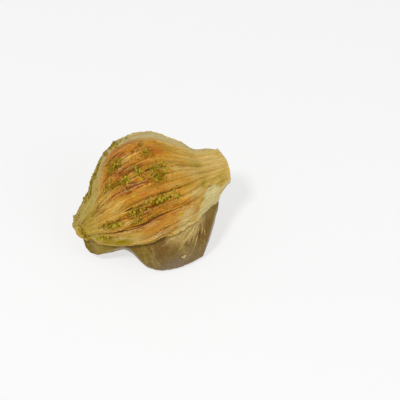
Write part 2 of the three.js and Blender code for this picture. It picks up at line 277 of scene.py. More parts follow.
# %% Columns across the leaves
COLUMNS_PER_DEGREE = 1.22
LEAST_COLUMNS = 9
COLUMN_CROWDING = 0.6
DROP_SHARES = (0.22, 0.5, 0.8)
CREVICE_WIDTH = 0.2


def leaf_columns(leaf):
    t = np.linspace(0, 1, max(LEAST_COLUMNS, round(LEAF_WIDTHS[leaf] * COLUMNS_PER_DEGREE)))
    return lerp(t, 0.5 - 0.5 * np.cos(np.pi * t), COLUMN_CROWDING)


def pleats(place):
    """Angle, height, share across, leaf and depth of each column, from the front to the back rim."""
    place = np.atleast_1d(place)[:, None]
    parts = []
    for leaf in range(len(LEAF_WIDTHS)):
        t = leaf_columns(leaf)
        low, high = edge_angle(leaf, place), edge_angle(leaf + 1, place)
        root, edge = (low, high) if leaf < FIRST_BACK_LEAF else (high, low)
        hang = LEAF_OVERHANG * np.sign(edge - root) * smooth(OVERHANG_START, 1, t)
        if leaf == FIRST_BACK_LEAF - 1:
            hang = 0 * hang
        if leaf == FIRST_BACK_LEAF:
            hang = CREST_FURROW * smooth(FURROW_START, 1, t) + 0 * hang
        height = leaf_height(leaf, place)
        is_open = openness(leaf if leaf < FIRST_BACK_LEAF else leaf + 1, place)
        rise = 1 - (1 - t) ** LEAF_ROUNDNESS - CREVICE_SHARE + ROOT_LIFT * (1 - is_open) * (1 - t) ** 4
        part = [lerp(root, edge, t) + hang, height * rise, t + 0 * root, leaf + 0 * t + 0 * root]
        # How deep in an open crevice the column lies; the finish paints shade by it.
        part.append(smooth(CREVICE_WIDTH, 0, t) * is_open)
        if leaf >= FIRST_BACK_LEAF:
            part = [values[:, ::-1] for values in part]
        if parts:
            parts.append(drop(parts[-1], part, leaf, place))
        parts.append(part)
    return [np.concatenate([part[k] for part in parts], axis=1) for k in range(5)]


def drop(before, after, leaf, place):
    """The steep columns between the last column of one leaf and the first column of the next."""
    s = np.array(DROP_SHARES)[None, :]
    ends = [(a[:, -1:], b[:, :1]) for a, b in zip(before, after)]
    angle, height = (lerp(*pair, s) for pair in ends[:2])
    if leaf == FIRST_BACK_LEAF:
        height = height - CREST_DROP * CREVICE_SHARE * leaf_height(leaf, place) * np.sin(np.pi * s)
        depth = np.sin(np.pi * s) + 0 * angle
    else:
        toward_root = -1 if leaf < FIRST_BACK_LEAF else 1
        angle = angle + toward_root * UNDERCUT * np.sin(np.pi * s)
        depth = lerp(*ends[4], s)
    owner = ends[3][0] if leaf < FIRST_BACK_LEAF else ends[3][1]
    return [angle, height, np.ones_like(angle), owner + 0 * angle, depth]


def relief_at(place, angle):
    """How high the leaves stand over their bed, for matching arrays of places and angles."""
    columns = pleats(place)
    return np.array([np.interp(a, x, h) for a, x, h in zip(angle, columns[0], columns[1])])


print("columns from rim to rim:", pleats(0.5)[0].shape[1])

# %% [markdown]
# ## Colour zones
# Where the fan baked hardest it is orange, the tail stayed pale and the tip took up green from the
# nuts. Each zone is a handful of soft round patches in place and angle, stored on the mesh as an
# attribute. Painting by hand would do it too, but patches stay editable and follow the surface.

# %% Patches over the fan
# Place, angle, reach along, reach round, strength.
TOASTED = (
    (0.43, 114, 0.18, 13, 0.5), (0.3, 92, 0.11, 14, 0.45), (0.62, 98, 0.1, 10, 0.4),
    (0.275, 64, 0.04, 3, 0.5), (0.43, 39, 0.18, 4, 0.5), (0.42, 26, 0.18, 3, 0.3),
    (0.43, 64, 0.09, 4, 0.9), (0.47, 85, 0.15, 9, 0.5), (0.5, 55, 0.25, 46, 0.42),
    (0.5, 175, 0.3, 16, 0.6), (0.5, 205, 0.3, 16, 0.35), (0.6, 16, 0.14, 12, 0.12),
    (0.42, 19, 0.08, 3, 0.15), (0.36, 30, 0.05, 3, 0.2), (0.68, 96, 0.08, 10, 0.15),
)
SOAKED = (
    (0.02, 25, 0.07, 20, 0.75), (0.09, 48, 0.06, 26, 0.5), (0.14, 74, 0.03, 6, 0.8),
    (0.14, 20, 0.03, 3, 1.0), (0.57, 138, 0.05, 5, 0.5), (0.84, 78, 0.04, 6, 0.7),
    (0.84, 40, 0.04, 8, 0.6), (0.742, 44, 0.03, 3, 0.6), (0.71, 100, 0.04, 4, 0.6),
    (0.88, 56, 0.05, 4, 0.5), (0.66, 77, 0.15, 2, 0.6), (0.789, 15, 0.018, 3, 1.0),
    (0.632, 17, 0.016, 2.6, 1.0), (0.178, 19, 0.04, 3, 0.8), (0.95, 24, 0.03, 10, 0.7),
    (0.45, 200, 0.25, 20, 0.4), (0.21, 7, 0.09, 5, 0.9), (0.3, -1, 0.08, 4, 0.6),
    (0.45, 151, 0.14, 6, 0.8), (0.25, 9, 0.03, 3, 1.0), (0.16, 122, 0.08, 9, 0.6),
    (0.17, 9, 0.06, 6, 0.9), (0.29, 17, 0.035, 3, 0.8), (0.03, 70, 0.03, 8, 0.5),
    (0.09, 78, 0.025, 12, 0.9), (0.84, 84, 0.03, 6, 0.6), (0.826, 31, 0.02, 4, 0.9),
    (0.95, 4, 0.04, 9, 0.8), (0.89, 27, 0.03, 4, 0.6), (0.48, 86, 0.12, 5, 0.3),
    (0.28, 117, 0.07, 8, 0.6), (0.24, 80, 0.03, 4, 0.5),
)
CREAM = (
    (0.95, 85, 0.11, 50, 0.35), (0.56, 141, 0.12, 5, 0.3), (0.1, 26, 0.02, 3, 0.4),
    (0.47, 7, 0.07, 2.6, 0.8), (0.64, 6, 0.05, 6, 0.9), (0.585, -1, 0.05, 3, 0.5),
    (0.7, 215, 0.2, 12, 0.4), (0.03, 100, 0.04, 16, 0.9), (0.23, 14, 0.025, 3, 0.7),
    (0.31, 10, 0.05, 4, 0.5), (0.16, 97, 0.07, 9, 0.5), (0.095, 21, 0.03, 3, 0.5),
    (0.8, 60, 0.03, 5, 0.4), (0.68, 15, 0.06, 6, 0.6), (0.77, 30, 0.04, 6, 0.4),
    (0.665, -5, 0.03, 4, 0.6),
)
# Small spots where a drop of syrup and butter set bright yellow.
GILDED = (
    (0.492, 69, 0.013, 2.2, 1.0), (0.416, 56, 0.014, 2.2, 0.8), (0.632, 17, 0.014, 2.4, 1.0),
    (0.33, 56, 0.01, 2, 0.6),
)
# Where the crevices gape so far that they look black, patches of painted shade.
HOLE_SHADE_PATCHES = (
    (0.545, 75.3, 0.07, 1.1, 1.0), (0.44, 44.2, 0.06, 1.1, 1.0), (0.35, 46, 0.04, 1.0, 0.9),
    (0.25, 24, 0.05, 0.8, 0.5), (0.61, 41, 0.03, 1.0, 0.9), (0.335, 52, 0.025, 1.0, 0.7),
)
ROSY = (
    (0.42, 66, 0.09, 4, 0.8), (0.5, 21, 0.12, 3, 0.5), (0.53, 124, 0.12, 5, 0.6),
    (0.33, 113, 0.05, 5, 0.5), (0.37, 88, 0.03, 3, 0.8), (0.2, 22, 0.05, 2, 0.6),
    (0.47, 8, 0.07, 2.2, 0.6), (0.52, 50, 0.12, 4, 0.4), (0.5, 165, 0.2, 6, 0.5),
    (0.9, 54, 0.04, 7, 0.35), (0.87, 96, 0.05, 5, 0.25), (0.03, 90, 0.03, 12, 0.3),
)
FLAKY = (
    (0.4, 88, 0.2, 20, 1.0), (0.4, 36, 0.2, 9, 1.0), (0.42, 64, 0.14, 5, 0.8), (0.47, 6, 0.08, 4, 1.0),
    (0.7, 26, 0.08, 7, 0.7), (0.16, 62, 0.09, 14, 0.6), (0.5, 108, 0.15, 8, 0.5),
    (0.5, 180, 0.3, 26, 0.8), (0.72, 74, 0.12, 5, 0.7), (0.42, 24, 0.18, 3, 0.9),
    (0.865, 21, 0.035, 2.5, 1.0),
)
LEAST_FLAKY = 0.25
print("patches:", sum(len(zone) for zone in (TOASTED, SOAKED, CREAM, GILDED, HOLE_SHADE_PATCHES, ROSY, FLAKY)))

# %% The pale band, the flap and the nuts
# The pale band over the back starts at this angle, and the pale flap at the tail ends at that one.
BAND_EDGE = (
    (0, 60), (0.15, 74), (0.2, 82), (0.24, 92), (0.28, 100), (0.34, 112), (0.42, 120), (0.52, 120),
    (0.6, 114), (0.75, 108), (1, 104),
)
BAND_PALLOR = ((0.05, 0.5), (0.2, 0.65), (0.3, 0.68), (0.4, 0.85), (0.52, 1), (0.75, 0.8), (1, 0.4))
FLAP_EDGE = (
    (0.66, -3), (0.735, 6), (0.768, 10), (0.8, 18), (0.84, 21), (0.88, 18), (0.91, 6), (0.94, -12),
    (1, -16),
)
BAND_FADE, BAND_END = 15, (180, 148)
BAND_GREEN, BAND_GREEN_REACH = 0.6, (0.42, 0.15)
FLAP_FADE, FLAP_START = 3, (0.68, 0.76)
FLAP_LINE, FLAP_LINE_START, FLAP_LINE_END = 1.2, (0.78, 0.83), (0.95, 0.92)

# Clusters of ground nuts: place, angle, spread along, spread round, number of larger grains.
NUT_CLUSTERS = (
    (0.22, 35, 0.07, 3, 8), (0.38, 40, 0.05, 3, 7), (0.55, 42, 0.06, 3, 9), (0.65, 39, 0.02, 3, 3),
    (0.13, 18, 0.04, 2, 4), (0.39, 74, 0.05, 4, 8), (0.49, 78, 0.03, 5, 5), (0.6, 68, 0.07, 7, 9),
    (0.58, 95, 0.03, 4, 4), (0.37, 103, 0.05, 4, 7), (0.29, 82, 0.04, 3, 4), (0.3, 134, 0.16, 9, 10),
    (0.18, 141, 0.08, 7, 6), (0.45, 168, 0.2, 14, 7),
)
# Where only dust of the nuts lies, as patches.
DUST = (
    (0.48, 33, 0.05, 3, 0.5), (0.37, 31, 0.04, 3, 0.6), (0.26, 132, 0.035, 4, 0.9),
    (0.41, 143, 0.03, 4, 0.6), (0.33, 77, 0.04, 4, 0.7), (0.57, 111, 0.015, 2.5, 0.9),
    (0.015, 25, 0.02, 30, 0.9), (0.16, 16, 0.05, 4, 0.6), (0.06, 64, 0.02, 6, 0.4),
    (0.02, 120, 0.02, 12, 0.5), (0.17, 133, 0.03, 3, 0.6), (0.38, 97, 0.05, 4, 0.8),
    (0.52, 46, 0.1, 2, 0.5), (0.6, 62, 0.04, 4, 0.6), (0.5, 180, 0.25, 20, 0.25),
)
# A narrow cluster spreads wider than its grains lie, and one with few grains lies thinner.
NARROW, NARROW_SPREAD, BROAD_SPREAD = 8, 1.25, 0.8
CLUSTER_REACH, FULL_COUNT, COMMON_DENSITY, MOST_DENSE = 0.8, 7, 22, 1.3
print("clusters of nuts:", len(NUT_CLUSTERS))

# %% What each zone is at a place and an angle
def patches(zone, place, angle):
    total = 0.0
    for middle, turn, length, width, strength in zone:
        far = ((place - middle) / length) ** 2 + ((angle - turn) / width) ** 2
        total = total + strength * np.exp(-far)
    return np.clip(total, 0, 1)


def beyond_band(place, turn):
    """1 on the pale band over the back, 0 in front of it."""
    return smooth(0, BAND_FADE, turn - along(BAND_EDGE, place)) * smooth(*BAND_END, turn)


def on_flap(place, turn):
    """1 on the pale flap that lies over the tail at the front rim, 0 elsewhere."""
    aside = turn - along(FLAP_EDGE, place)
    return smooth(FLAP_FADE / 2, -FLAP_FADE / 2, aside) * smooth(*FLAP_START, place)


def flap_line(place, turn):
    """1 in the narrow crevice behind the edge of the flap."""
    aside = (turn - along(FLAP_EDGE, place) - FLAP_FADE / 2) / FLAP_LINE
    return np.exp(-(aside**2)) * smooth(*FLAP_LINE_START, place) * smooth(*FLAP_LINE_END, place)


def pallor(place, turn):
    band = beyond_band(place, turn) * along(BAND_PALLOR, place)
    return np.maximum(patches(CREAM, place, turn), np.maximum(band, on_flap(place, turn)))


def greenness(place, turn):
    band = BAND_GREEN * beyond_band(place, turn) * smooth(*BAND_GREEN_REACH, place)
    return np.maximum(patches(SOAKED, place, turn), band)


def strewn(place, turn):
    """How thickly the nuts lie, from 0 to 1."""
    total = patches(DUST, place, turn)
    for middle, centre, length, width, count in NUT_CLUSTERS:
        spread = width * (NARROW_SPREAD if width < NARROW else BROAD_SPREAD)
        far = ((place - middle) / (CLUSTER_REACH * length)) ** 2 + ((turn - centre) / spread) ** 2
        density = min(MOST_DENSE, count / (length * width) / COMMON_DENSITY) * min(1, count / FULL_COUNT)
        total = total + density * np.exp(-far)
    return np.clip(total, 0, 1)


def zone_values(place, turn):
    """What the relief and the finish need to know at each point of a leaf or a loose sheet."""
    spots = {"toasted": TOASTED, "flaky": FLAKY, "rosy": ROSY, "gilded": GILDED}
    return {
        **{name: patches(zone, place, turn) for name, zone in spots.items()},
        "place": place + 0 * turn, "turn": turn + 0 * place,
        "soaked": greenness(place, turn), "cream": pallor(place, turn), "strewn": strewn(place, turn),
        "outward": outward(turn), "sideways": sideways(turn),
    }


print("nuts near the top, from 0 to 1:", round(float(strewn(0.49, 78)), 2))

# %% Grids of points, and meshes with attributes
def grid_faces(rows, columns):
    """Quads between rows of points, where the last column joins the first."""
    a = np.arange((rows - 1) * columns).reshape(rows - 1, columns)
    b = np.roll(a, -1, axis=1)
    return np.stack((a, a + columns, b + columns, b), axis=-1).reshape(-1, 4)


CAP_CLOSED = 0.998


def with_caps(points, extras, steps, bulge, changes=()):
    """Adds shrinking rings to both ends of a tube of points. Each end bulges along the axis."""
    for end, sign in ((0, -1), (-1, 1)):
        ring = points[end]
        middle = ring.mean(axis=0)
        for share in np.linspace(0, 1, steps + 1)[1:]:
            row = lerp(ring, middle, min(share, CAP_CLOSED)) + AXIS * sign * bulge(share)
            points = np.concatenate((row[None], points) if end == 0 else (points, row[None]))
            for name, values in extras.items():
                more = values[end][None]
                if name in changes:
                    change = changes[name]
                    more = change(more, share) if callable(change) else 0 * more + change
                extras[name] = np.concatenate((more, values) if end == 0 else (values, more))
    return points, extras


def mesh_piece(name, points, faces, extras=None, edges=()):
    """A new object from points in millimetres, with one attribute for each named array."""
    mesh = bpy.data.meshes.new(name)
    mesh.from_pydata((points.reshape(-1, 3) * MM).tolist(), edges, np.asarray(faces).tolist())
    for key, values in (extras or {}).items():
        vector = values.shape[-1] == 3 and values.size == points.size
        layer = mesh.attributes.new(key, "FLOAT_VECTOR" if vector else "FLOAT", "POINT")
        layer.data.foreach_set("vector" if vector else "value", values.astype(np.float32).ravel())
    mesh.update()
    piece = bpy.data.objects.new(name, mesh)
    bpy.context.scene.collection.objects.link(piece)
    return piece


print("faces between three rings of four points:", len(grid_faces(3, 4)))

# %% [markdown]
# ## The body of the fan
# The fan is a shell: its outside is the leaves, its edge along each rim is a stack of cut sheets, and
# its inside lies just over the soft leaf. One ring of points goes over the leaves and back along the
# inside, and 232 such rings make the body. At the tip and the tail the shell closes below.

# %% The outside of the fan
FAN_ROWS = 232
FLAP_RISE, FLAP_SETTLES = 0.35, (0.95, 0.88)
# A dip and a swell near the tip: place, reach, the angles where each comes and goes, and its height.
TIP_SWELLS = (
    (0.145, 0.03, (104, 118), (145, 134), -1.1), (0.02, 0.035, (125, 150), (196, 182), 0.9),
)

places = np.linspace(FAN_START, FAN_END, FAN_ROWS)
column = places[:, None]
angle, height, across, leaf, depth = pleats(places)
height = height + FLAP_RISE * on_flap(column, angle) * smooth(*FLAP_SETTLES, column)
for middle, reach, comes, goes, rise in TIP_SWELLS:
    swell = np.exp(-(((column - middle) / reach) ** 2))
    height = height + rise * swell * smooth(*comes, angle) * smooth(*goes, angle)
outer = fan_point(column, angle, bed_radius(column, angle) + height)
print("rings and columns of the outside:", *outer.shape[:2])

# %% The inside and the ragged rims
INNER_COLUMNS = 34
RIM_COLUMNS = 5
RIM_RAGGED, RIM_WAVES, RIM_STEP = 0.385, 26, 0.8
FAN_CLOSED = ((-0.03, 1), (-0.014, 1), (0.012, 0), (0.87, 0), (0.915, 1), (1.02, 1))

front, back = rims(column)
share = np.linspace(0, 1, INNER_COLUMNS)[None, :]
inner_angle = lerp(back, front, share)
inner_radius = np.maximum(LEAST_RADIUS, bed_radius(column, inner_angle) - skin_thickness(1 - share))
under_angle = lerp(back, front + 360, share)
inner = lerp(
    fan_point(column, inner_angle, inner_radius),
    fan_point(column, under_angle, bed_radius(column, under_angle)),
    along(FAN_CLOSED, column)[..., None],
)


def rim_columns(start, end, turn, seed):
    """The ragged stack of cut sheets between the outside and the inside of a rim."""
    stack = []
    for k in range(1, RIM_COLUMNS + 1):
        ragged = RIM_RAGGED * (ripple(places, seed + k, RIM_WAVES) + RIM_STEP * (-1) ** k)
        stack.append(lerp(start, end, k / (RIM_COLUMNS + 1)) + sideways(turn) * ragged[:, None])
    return np.stack(stack, axis=1)


back_stack = rim_columns(outer[:, -1], inner[:, 0], back[:, 0], 500)
front_stack = rim_columns(inner[:, -1], outer[:, 0], front[:, 0], 600)
ring = np.concatenate((outer, back_stack, inner, front_stack), axis=1)
rim_angles = [rim + np.zeros((1, RIM_COLUMNS)) for rim in (back, front)]
ring_angle = np.concatenate((angle, rim_angles[0], inner_angle, rim_angles[1]), axis=1)
print("columns of a whole ring:", ring.shape[1])

# %% What each point remembers, and the closed ends
SHEET_WIDTH = 2.6
LEAF_LAYERS = 20
FLAP_SHADE = 0.8
# What the points remember that no leaf owns: those on the inside and the rims, and those on the ends.
# The depth of 0.45 on the inside and the rims gives them painted shade.
HIDDEN = {"across": 0.5, "leaf": 30, "layer": 30 * LEAF_LAYERS, "depth": 0.45, "leafy": 0}
CAP_STEPS, CAP_SHEETS, CAP_LEDGE, CAP_LAYER = 14, 5, 0.5, 950
CAP_CHANGES = {
    "layer": lambda values, share: 0 * values + CAP_LAYER + CAP_SHEETS * share,
    "leafy": lambda values, share: values * (1 - share) ** 3,
    "leaf": 40, "across": 0.5, "depth": 0, "flaky": 1, "cream": 0.6,
}
# How far the end of the tip lies inward at each angle, in millimetres, and where that fades out.
TIP_OUTLINE = (
    (-10, 2.4), (8, 2), (20, 0.9), (32, 0.4), (55, 0.9), (80, 0.7), (100, 0.3), (125, 0.2),
    (145, 0.8), (165, 1.4), (200, 1.6),
)
TIP_END = (0.1, -0.01)


def cap_bulge(share):
    """How far the cut end stands out: a hollow with a ledge for each sheet rolled into it."""
    ledge = CAP_LEDGE * ((share * CAP_SHEETS + 0.3) % 1 - 0.5) * (share < 0.95)
    return ledge - END_HOLLOW * np.sqrt(share)


known = {
    "across": across,
    "leaf": leaf,
    "layer": LEAF_LAYERS * leaf + across * np.array(LEAF_WIDTHS)[leaf.astype(int)] / SHEET_WIDTH,
    "depth": np.maximum(depth, FLAP_SHADE * flap_line(column, angle)),
    "leafy": np.ones_like(angle),
}
pad = ((0, 0), (0, ring.shape[1] - outer.shape[1]))
fan_extras = {name: np.pad(values, pad, constant_values=HIDDEN[name]) for name, values in known.items()}
fan_extras |= zone_values(column, ring_angle)
fan_extras["strewn"] = fan_extras["strewn"] * fan_extras["leafy"]
fan_extras["holes"] = patches(HOLE_SHADE_PATCHES, column, ring_angle)
tip_inset = np.interp(ring_angle, *zip(*TIP_OUTLINE)) * smooth(*TIP_END, column)
ring = ring + AXIS * tip_inset[..., None]
fan_points, fan_extras = with_caps(ring, fan_extras, CAP_STEPS, cap_bulge, CAP_CHANGES)
fan = mesh_piece("pleated_leaves", fan_points, grid_faces(*fan_points.shape[:2]), fan_extras)
print("fan:", len(fan.data.polygons) * 2, "triangles in", fan_points.shape[1], "columns")

# %% [markdown]
# ## Node trees without tears
# Both finishes and Geometry Nodes are trees of nodes. Writing each node by hand takes five lines, so
# a few helpers add one node and link its inputs in a single call. A group's sizes are named inputs,
# and a modifier is told each one by the socket's identifier, because names aren't unique.

# %% Helpers for node trees
def add(tree, kind, inputs=None, **settings):
    """A new node with its settings, whose inputs are linked to sockets or given plain values."""
    node = tree.nodes.new(kind)
    for name, value in settings.items():
        setattr(node, name, value)
    for key, value in (inputs or {}).items():
        if isinstance(value, bpy.types.NodeSocket):
            tree.links.new(value, node.inputs[key])
        else:
            node.inputs[key].default_value = value
    return node


def maths(tree, operation, *values, clamp=False):
    inputs = dict(enumerate(values))
    return add(tree, "ShaderNodeMath", inputs, operation=operation, use_clamp=clamp).outputs[0]


def times(tree, first, second):
    return maths(tree, "MULTIPLY", first, second)


def plus(tree, first, second):
    return maths(tree, "ADD", first, second)


def minus(tree, first, second):
    return maths(tree, "SUBTRACT", first, second)


def times_plus(tree, first, second, third):
    return maths(tree, "MULTIPLY_ADD", first, second, third)


def vectors(tree, operation, first, second):
    inputs = {0: first, "Scale" if operation == "SCALE" else 1: second}
    return add(tree, "ShaderNodeVectorMath", inputs, operation=operation).outputs[0]


def scaled(tree, vector, factor):
    return vectors(tree, "SCALE", vector, factor)


def combined(tree, *values):
    return add(tree, "ShaderNodeCombineXYZ", dict(enumerate(values))).outputs[0]


def soft_step(tree, value, low, high, start=0.0, end=1.0):
    inputs = {"Value": value, "From Min": low, "From Max": high, "To Min": start, "To Max": end}
    node = add(tree, "ShaderNodeMapRange", inputs, interpolation_type="SMOOTHSTEP")
    return node.outputs["Result"]


def noise(tree, vector, scale, detail=2.0, roughness=0.5):
    inputs = {"Vector": vector, "Scale": scale, "Detail": detail, "Roughness": roughness}
    return add(tree, "ShaderNodeTexNoise", inputs).outputs["Fac"]


def srgb(red, green, blue):
    """A colour given as 0 to 255, in the linear numbers that a shader takes."""
    shares = np.array((red, green, blue)) / 255
    linear = np.where(shares <= 0.04045, shares / 12.92, ((shares + 0.055) / 1.055) ** 2.4)
    return (*linear.tolist(), 1.0)


print("a middle grey in linear numbers:", round(srgb(128, 128, 128)[0], 3))

# %% Helpers for geometry trees
def named(tree, name, kind="FLOAT"):
    """An attribute of the mesh, inside Geometry Nodes."""
    node = add(tree, "GeometryNodeInputNamedAttribute", {"Name": name}, data_type=kind)
    return node.outputs["Attribute"]


def group(name, sizes):
    """A geometry tree with one geometry in and out and a named number for each size."""
    tree = bpy.data.node_groups.new(name, "GeometryNodeTree")
    tree.interface.new_socket("Geometry", in_out="INPUT", socket_type="NodeSocketGeometry")
    tree.interface.new_socket("Geometry", in_out="OUTPUT", socket_type="NodeSocketGeometry")
    for size, value in sizes.items():
        socket = tree.interface.new_socket(size, in_out="INPUT", socket_type="NodeSocketFloat")
        socket.default_value = value
    return tree, add(tree, "NodeGroupInput").outputs


def finish_group(tree, geometry, material):
    real = add(tree, "GeometryNodeRealizeInstances", {"Geometry": geometry}).outputs[0]
    dressed = add(tree, "GeometryNodeSetMaterial", {"Geometry": real, "Material": material})
    add(tree, "NodeGroupOutput", {0: dressed.outputs[0]})


def grow(piece, tree, sizes, thickness=None):
    """Runs the tree on the piece and keeps its result as a plain mesh."""
    modifier = piece.modifiers.new(tree.name, "NODES")
    modifier.node_group = tree
    for item in tree.interface.items_tree:
        if item.in_out == "INPUT" and item.name in sizes:
            modifier[item.identifier] = float(sizes[item.name])
    if thickness:
        wall = piece.modifiers.new("wall", "SOLIDIFY")
        wall.thickness = thickness
        wall.offset = 0
    graph = bpy.context.evaluated_depsgraph_get()
    made = bpy.data.meshes.new_from_object(
        piece.evaluated_get(graph), preserve_all_data_layers=True, depsgraph=graph
    )
    piece.modifiers.clear()
    piece.data = made
    made.shade_smooth()
    return piece


print("geometry trees so far:", len(bpy.data.node_groups))

# %% Helpers for finishes
STRETCHES = 8


def attribute(tree, name):
    """An attribute of the mesh, inside a finish."""
    return add(tree, "ShaderNodeAttribute", attribute_name=name).outputs["Fac"]


def mixed(tree, factor, first, second):
    inputs = {0: factor, 6: first, 7: second}
    return add(tree, "ShaderNodeMix", inputs, data_type="RGBA").outputs[2]


def ramp(tree, factor, stops):
    node = add(tree, "ShaderNodeValToRGB", {"Fac": factor})
    elements = node.color_ramp.elements
    elements[0].position, elements[-1].position = stops[0][0], stops[-1][0]
    for position, _ in stops[1:-1]:
        elements.new(position)
    for element, (_, colour) in zip(elements, stops):
        element.color = colour
    return node.outputs["Color"]


def white_noise(tree, **inputs):
    kind = "1D" if "W" in inputs else "3D"
    return add(tree, "ShaderNodeTexWhiteNoise", inputs, noise_dimensions=kind).outputs["Value"]


def sheet_parts(tree, place, turn, layer, flaky, seed=0.0):
    """How far across its own thin sheet each point lies, a chance value of it, and how loose it is."""
    flow = combined(tree, times(tree, place, 7.0), times(tree, turn, 0.02), seed)
    spot = plus(tree, layer, times(tree, noise(tree, flow, 1.0), 3.0))
    sheet = maths(tree, "FLOOR", spot)
    phase = times(tree, white_noise(tree, W=sheet), 7.0)
    stretch = maths(tree, "FLOOR", times_plus(tree, place, STRETCHES, phase))
    tone = white_noise(tree, Vector=combined(tree, sheet, stretch, seed))
    lifted = combined(tree, times(tree, place, 9.0), times(tree, sheet, 2.7), seed + 3.0)
    loose = soft_step(tree, noise(tree, lifted, 1.0), 0.46, 0.6)
    crisp = soft_step(tree, flaky, 0.0, 1.0, LEAST_FLAKY, 1.0)
    return maths(tree, "FRACT", spot), tone, times(tree, loose, crisp)


def finish(name, **settings):
    """A new material, its tree and its shader with the plain numbers set on its own sockets."""
    material = bpy.data.materials.new(name)
    material.use_nodes = True
    shader = material.node_tree.nodes["Principled BSDF"]
    for key, value in settings.items():
        shader.inputs[key.replace("_", " ")].default_value = value
    return material, material.node_tree, shader


def dress(tree, shader, colour, height, strength, distance):
    """Links the colour and a fine bump to the shader."""
    bump = add(tree, "ShaderNodeBump", {"Height": height, "Strength": strength, "Distance": distance})
    tree.links.new(colour, shader.inputs["Base Color"])
    tree.links.new(bump.outputs[0], shader.inputs["Normal"])


print("stretches of one sheet along the fan:", STRETCHES)

# %% [markdown]
# ## The finish of baked filo
# Baked filo is pale where the sheets overlap thickly and orange to brown where they caught the heat,
# with fine streaks along each leaf and a thin coat of syrup. Onto that colour the finish paints shade
# in the crevices, under loose sheet edges and where crevices gape, and paints highlights along the
# torn and free edges. The colour runs along one ramp, and patches, streaks and the painted crevice
# shade only push it up or down, which keeps all the tones in one family.

# %% The colours of baked filo
PALE_FILO = srgb(205, 172, 90)
STRAW_FILO = srgb(200, 150, 54)
GOLD_FILO = srgb(190, 131, 38)
ORANGE_FILO = srgb(178, 105, 24)
BROWN_FILO = srgb(134, 68, 8)
GILT_FILO = srgb(208, 172, 8)
ROSY_FILO = srgb(170, 104, 54)
OLIVE_FILO = srgb(152, 134, 6)
# Painted shade: mixed into the crevices, under loose sheet edges and into small hollows.
CREVICE_SHADE_FILO = srgb(92, 46, 2)
# Painted shade: near black where the crevices gape.
HOLE_SHADE_FILO = srgb(48, 22, 2)
CREAM_FILO = srgb(214, 198, 137)
# Light flakes, and the painted highlight along torn and free edges.
FLAKE_AND_HIGHLIGHT_FILO = srgb(226, 176, 112)
NUT_STAIN = srgb(136, 98, 2)
BAKED = (
    (0.0, PALE_FILO), (0.22, STRAW_FILO), (0.45, GOLD_FILO), (0.72, ORANGE_FILO), (1.0, BROWN_FILO),
)
# How far each pattern pushes the colour along that ramp, and how far the painted shade of a crevice does.
SWAYS = {"fibres": 0.6, "tone": 0.6, "fine_tone": 0.2, "blotches": 0.8, "leafwise": 0.9}
CREVICE_SHADE_SWAY = 0.2
# The pattern that breaks up each zone, where it starts and is full, its least and most share, a tint.
TINTED = {
    "rosy": ("fibres", 0.35, 0.6, 0.5, 0.9, ROSY_FILO),
    "cream": ("blotches", 0.3, 0.6, 0.75, 1.0, CREAM_FILO),
    "soaked": ("blotches", 0.3, 0.65, 0.5, 1.0, OLIVE_FILO),
    "gilded": ("blotches", 0.0, 1.0, 0.8, 0.8, GILT_FILO),
}
print("zones with a tint of their own:", *TINTED)

# %% The patterns that the colour follows
FINE_SHEETS = 2.1
FILO_FACTS = (
    "place", "turn", "leaf", "across", "layer", "depth", "flaky", "toasted", *TINTED, "holes", "strewn",
)


def flow_noise(tree, seen, along_fan, round_fan, each_leaf, detail=2.0):
    """A noise that is drawn out along the leaves and differs from leaf to leaf."""
    flow = vectors(tree, "MULTIPLY", seen["flow"], (along_fan, round_fan, each_leaf))
    return noise(tree, flow, 1.0, detail, 0.6)


def filo_patterns(tree):
    """Every value that the colour of a leaf follows, by name."""
    seen = {name: attribute(tree, name) for name in FILO_FACTS}
    place, turn, flaky = (seen[name] for name in ("place", "turn", "flaky"))
    seen["crisp"] = soft_step(tree, flaky, 0.0, 1.0, LEAST_FLAKY, 1.0)
    # The finish paints shade by this crevice depth, weaker where the fan is not flaky.
    seen["depth"] = times(tree, seen["depth"], soft_step(tree, flaky, 0.0, 0.7, 0.3, 1.0))
    seen["flow"] = combined(tree, place, turn, seen["leaf"])
    seen["fibres"] = flow_noise(tree, seen, 7, 0.5, 3, 4)
    seen["blotches"] = flow_noise(tree, seen, 14, 0.12, 0.3, 3)
    seen["leafwise"] = flow_noise(tree, seen, 3, 0.02, 5.3)
    fine_layer = times(tree, seen["layer"], FINE_SHEETS)
    for kind, layer, seed in (("", seen["layer"], 0.0), ("fine_", fine_layer, 5.0)):
        parts = sheet_parts(tree, place, turn, layer, flaky, seed)
        seen |= zip((kind + "part", kind + "tone", kind + "loose"), parts)
    return seen


# %% From patterns to the finish
def baked_colour(tree, seen):
    """The colour along the ramp, and over it the rosy, cream, olive and yellow zones."""
    calm_tail = soft_step(tree, seen["place"], 0.7, 0.86, 1.0, 0.3)
    shares = {"blotches": 1.0, "leafwise": calm_tail}
    # Painted shade: the crevices push the colour towards brown.
    amount = times_plus(tree, seen["depth"], CREVICE_SHADE_SWAY, seen["toasted"])
    for name, weight in SWAYS.items():
        sway = times(tree, minus(tree, seen[name], 0.5), shares.get(name, seen["crisp"]))
        amount = times_plus(tree, sway, weight, amount)
    colour = ramp(tree, amount, BAKED)
    for zone, (pattern, *steps, tint) in TINTED.items():
        share = times(tree, seen[zone], soft_step(tree, seen[pattern], *steps))
        colour = mixed(tree, share, colour, tint)
    return colour


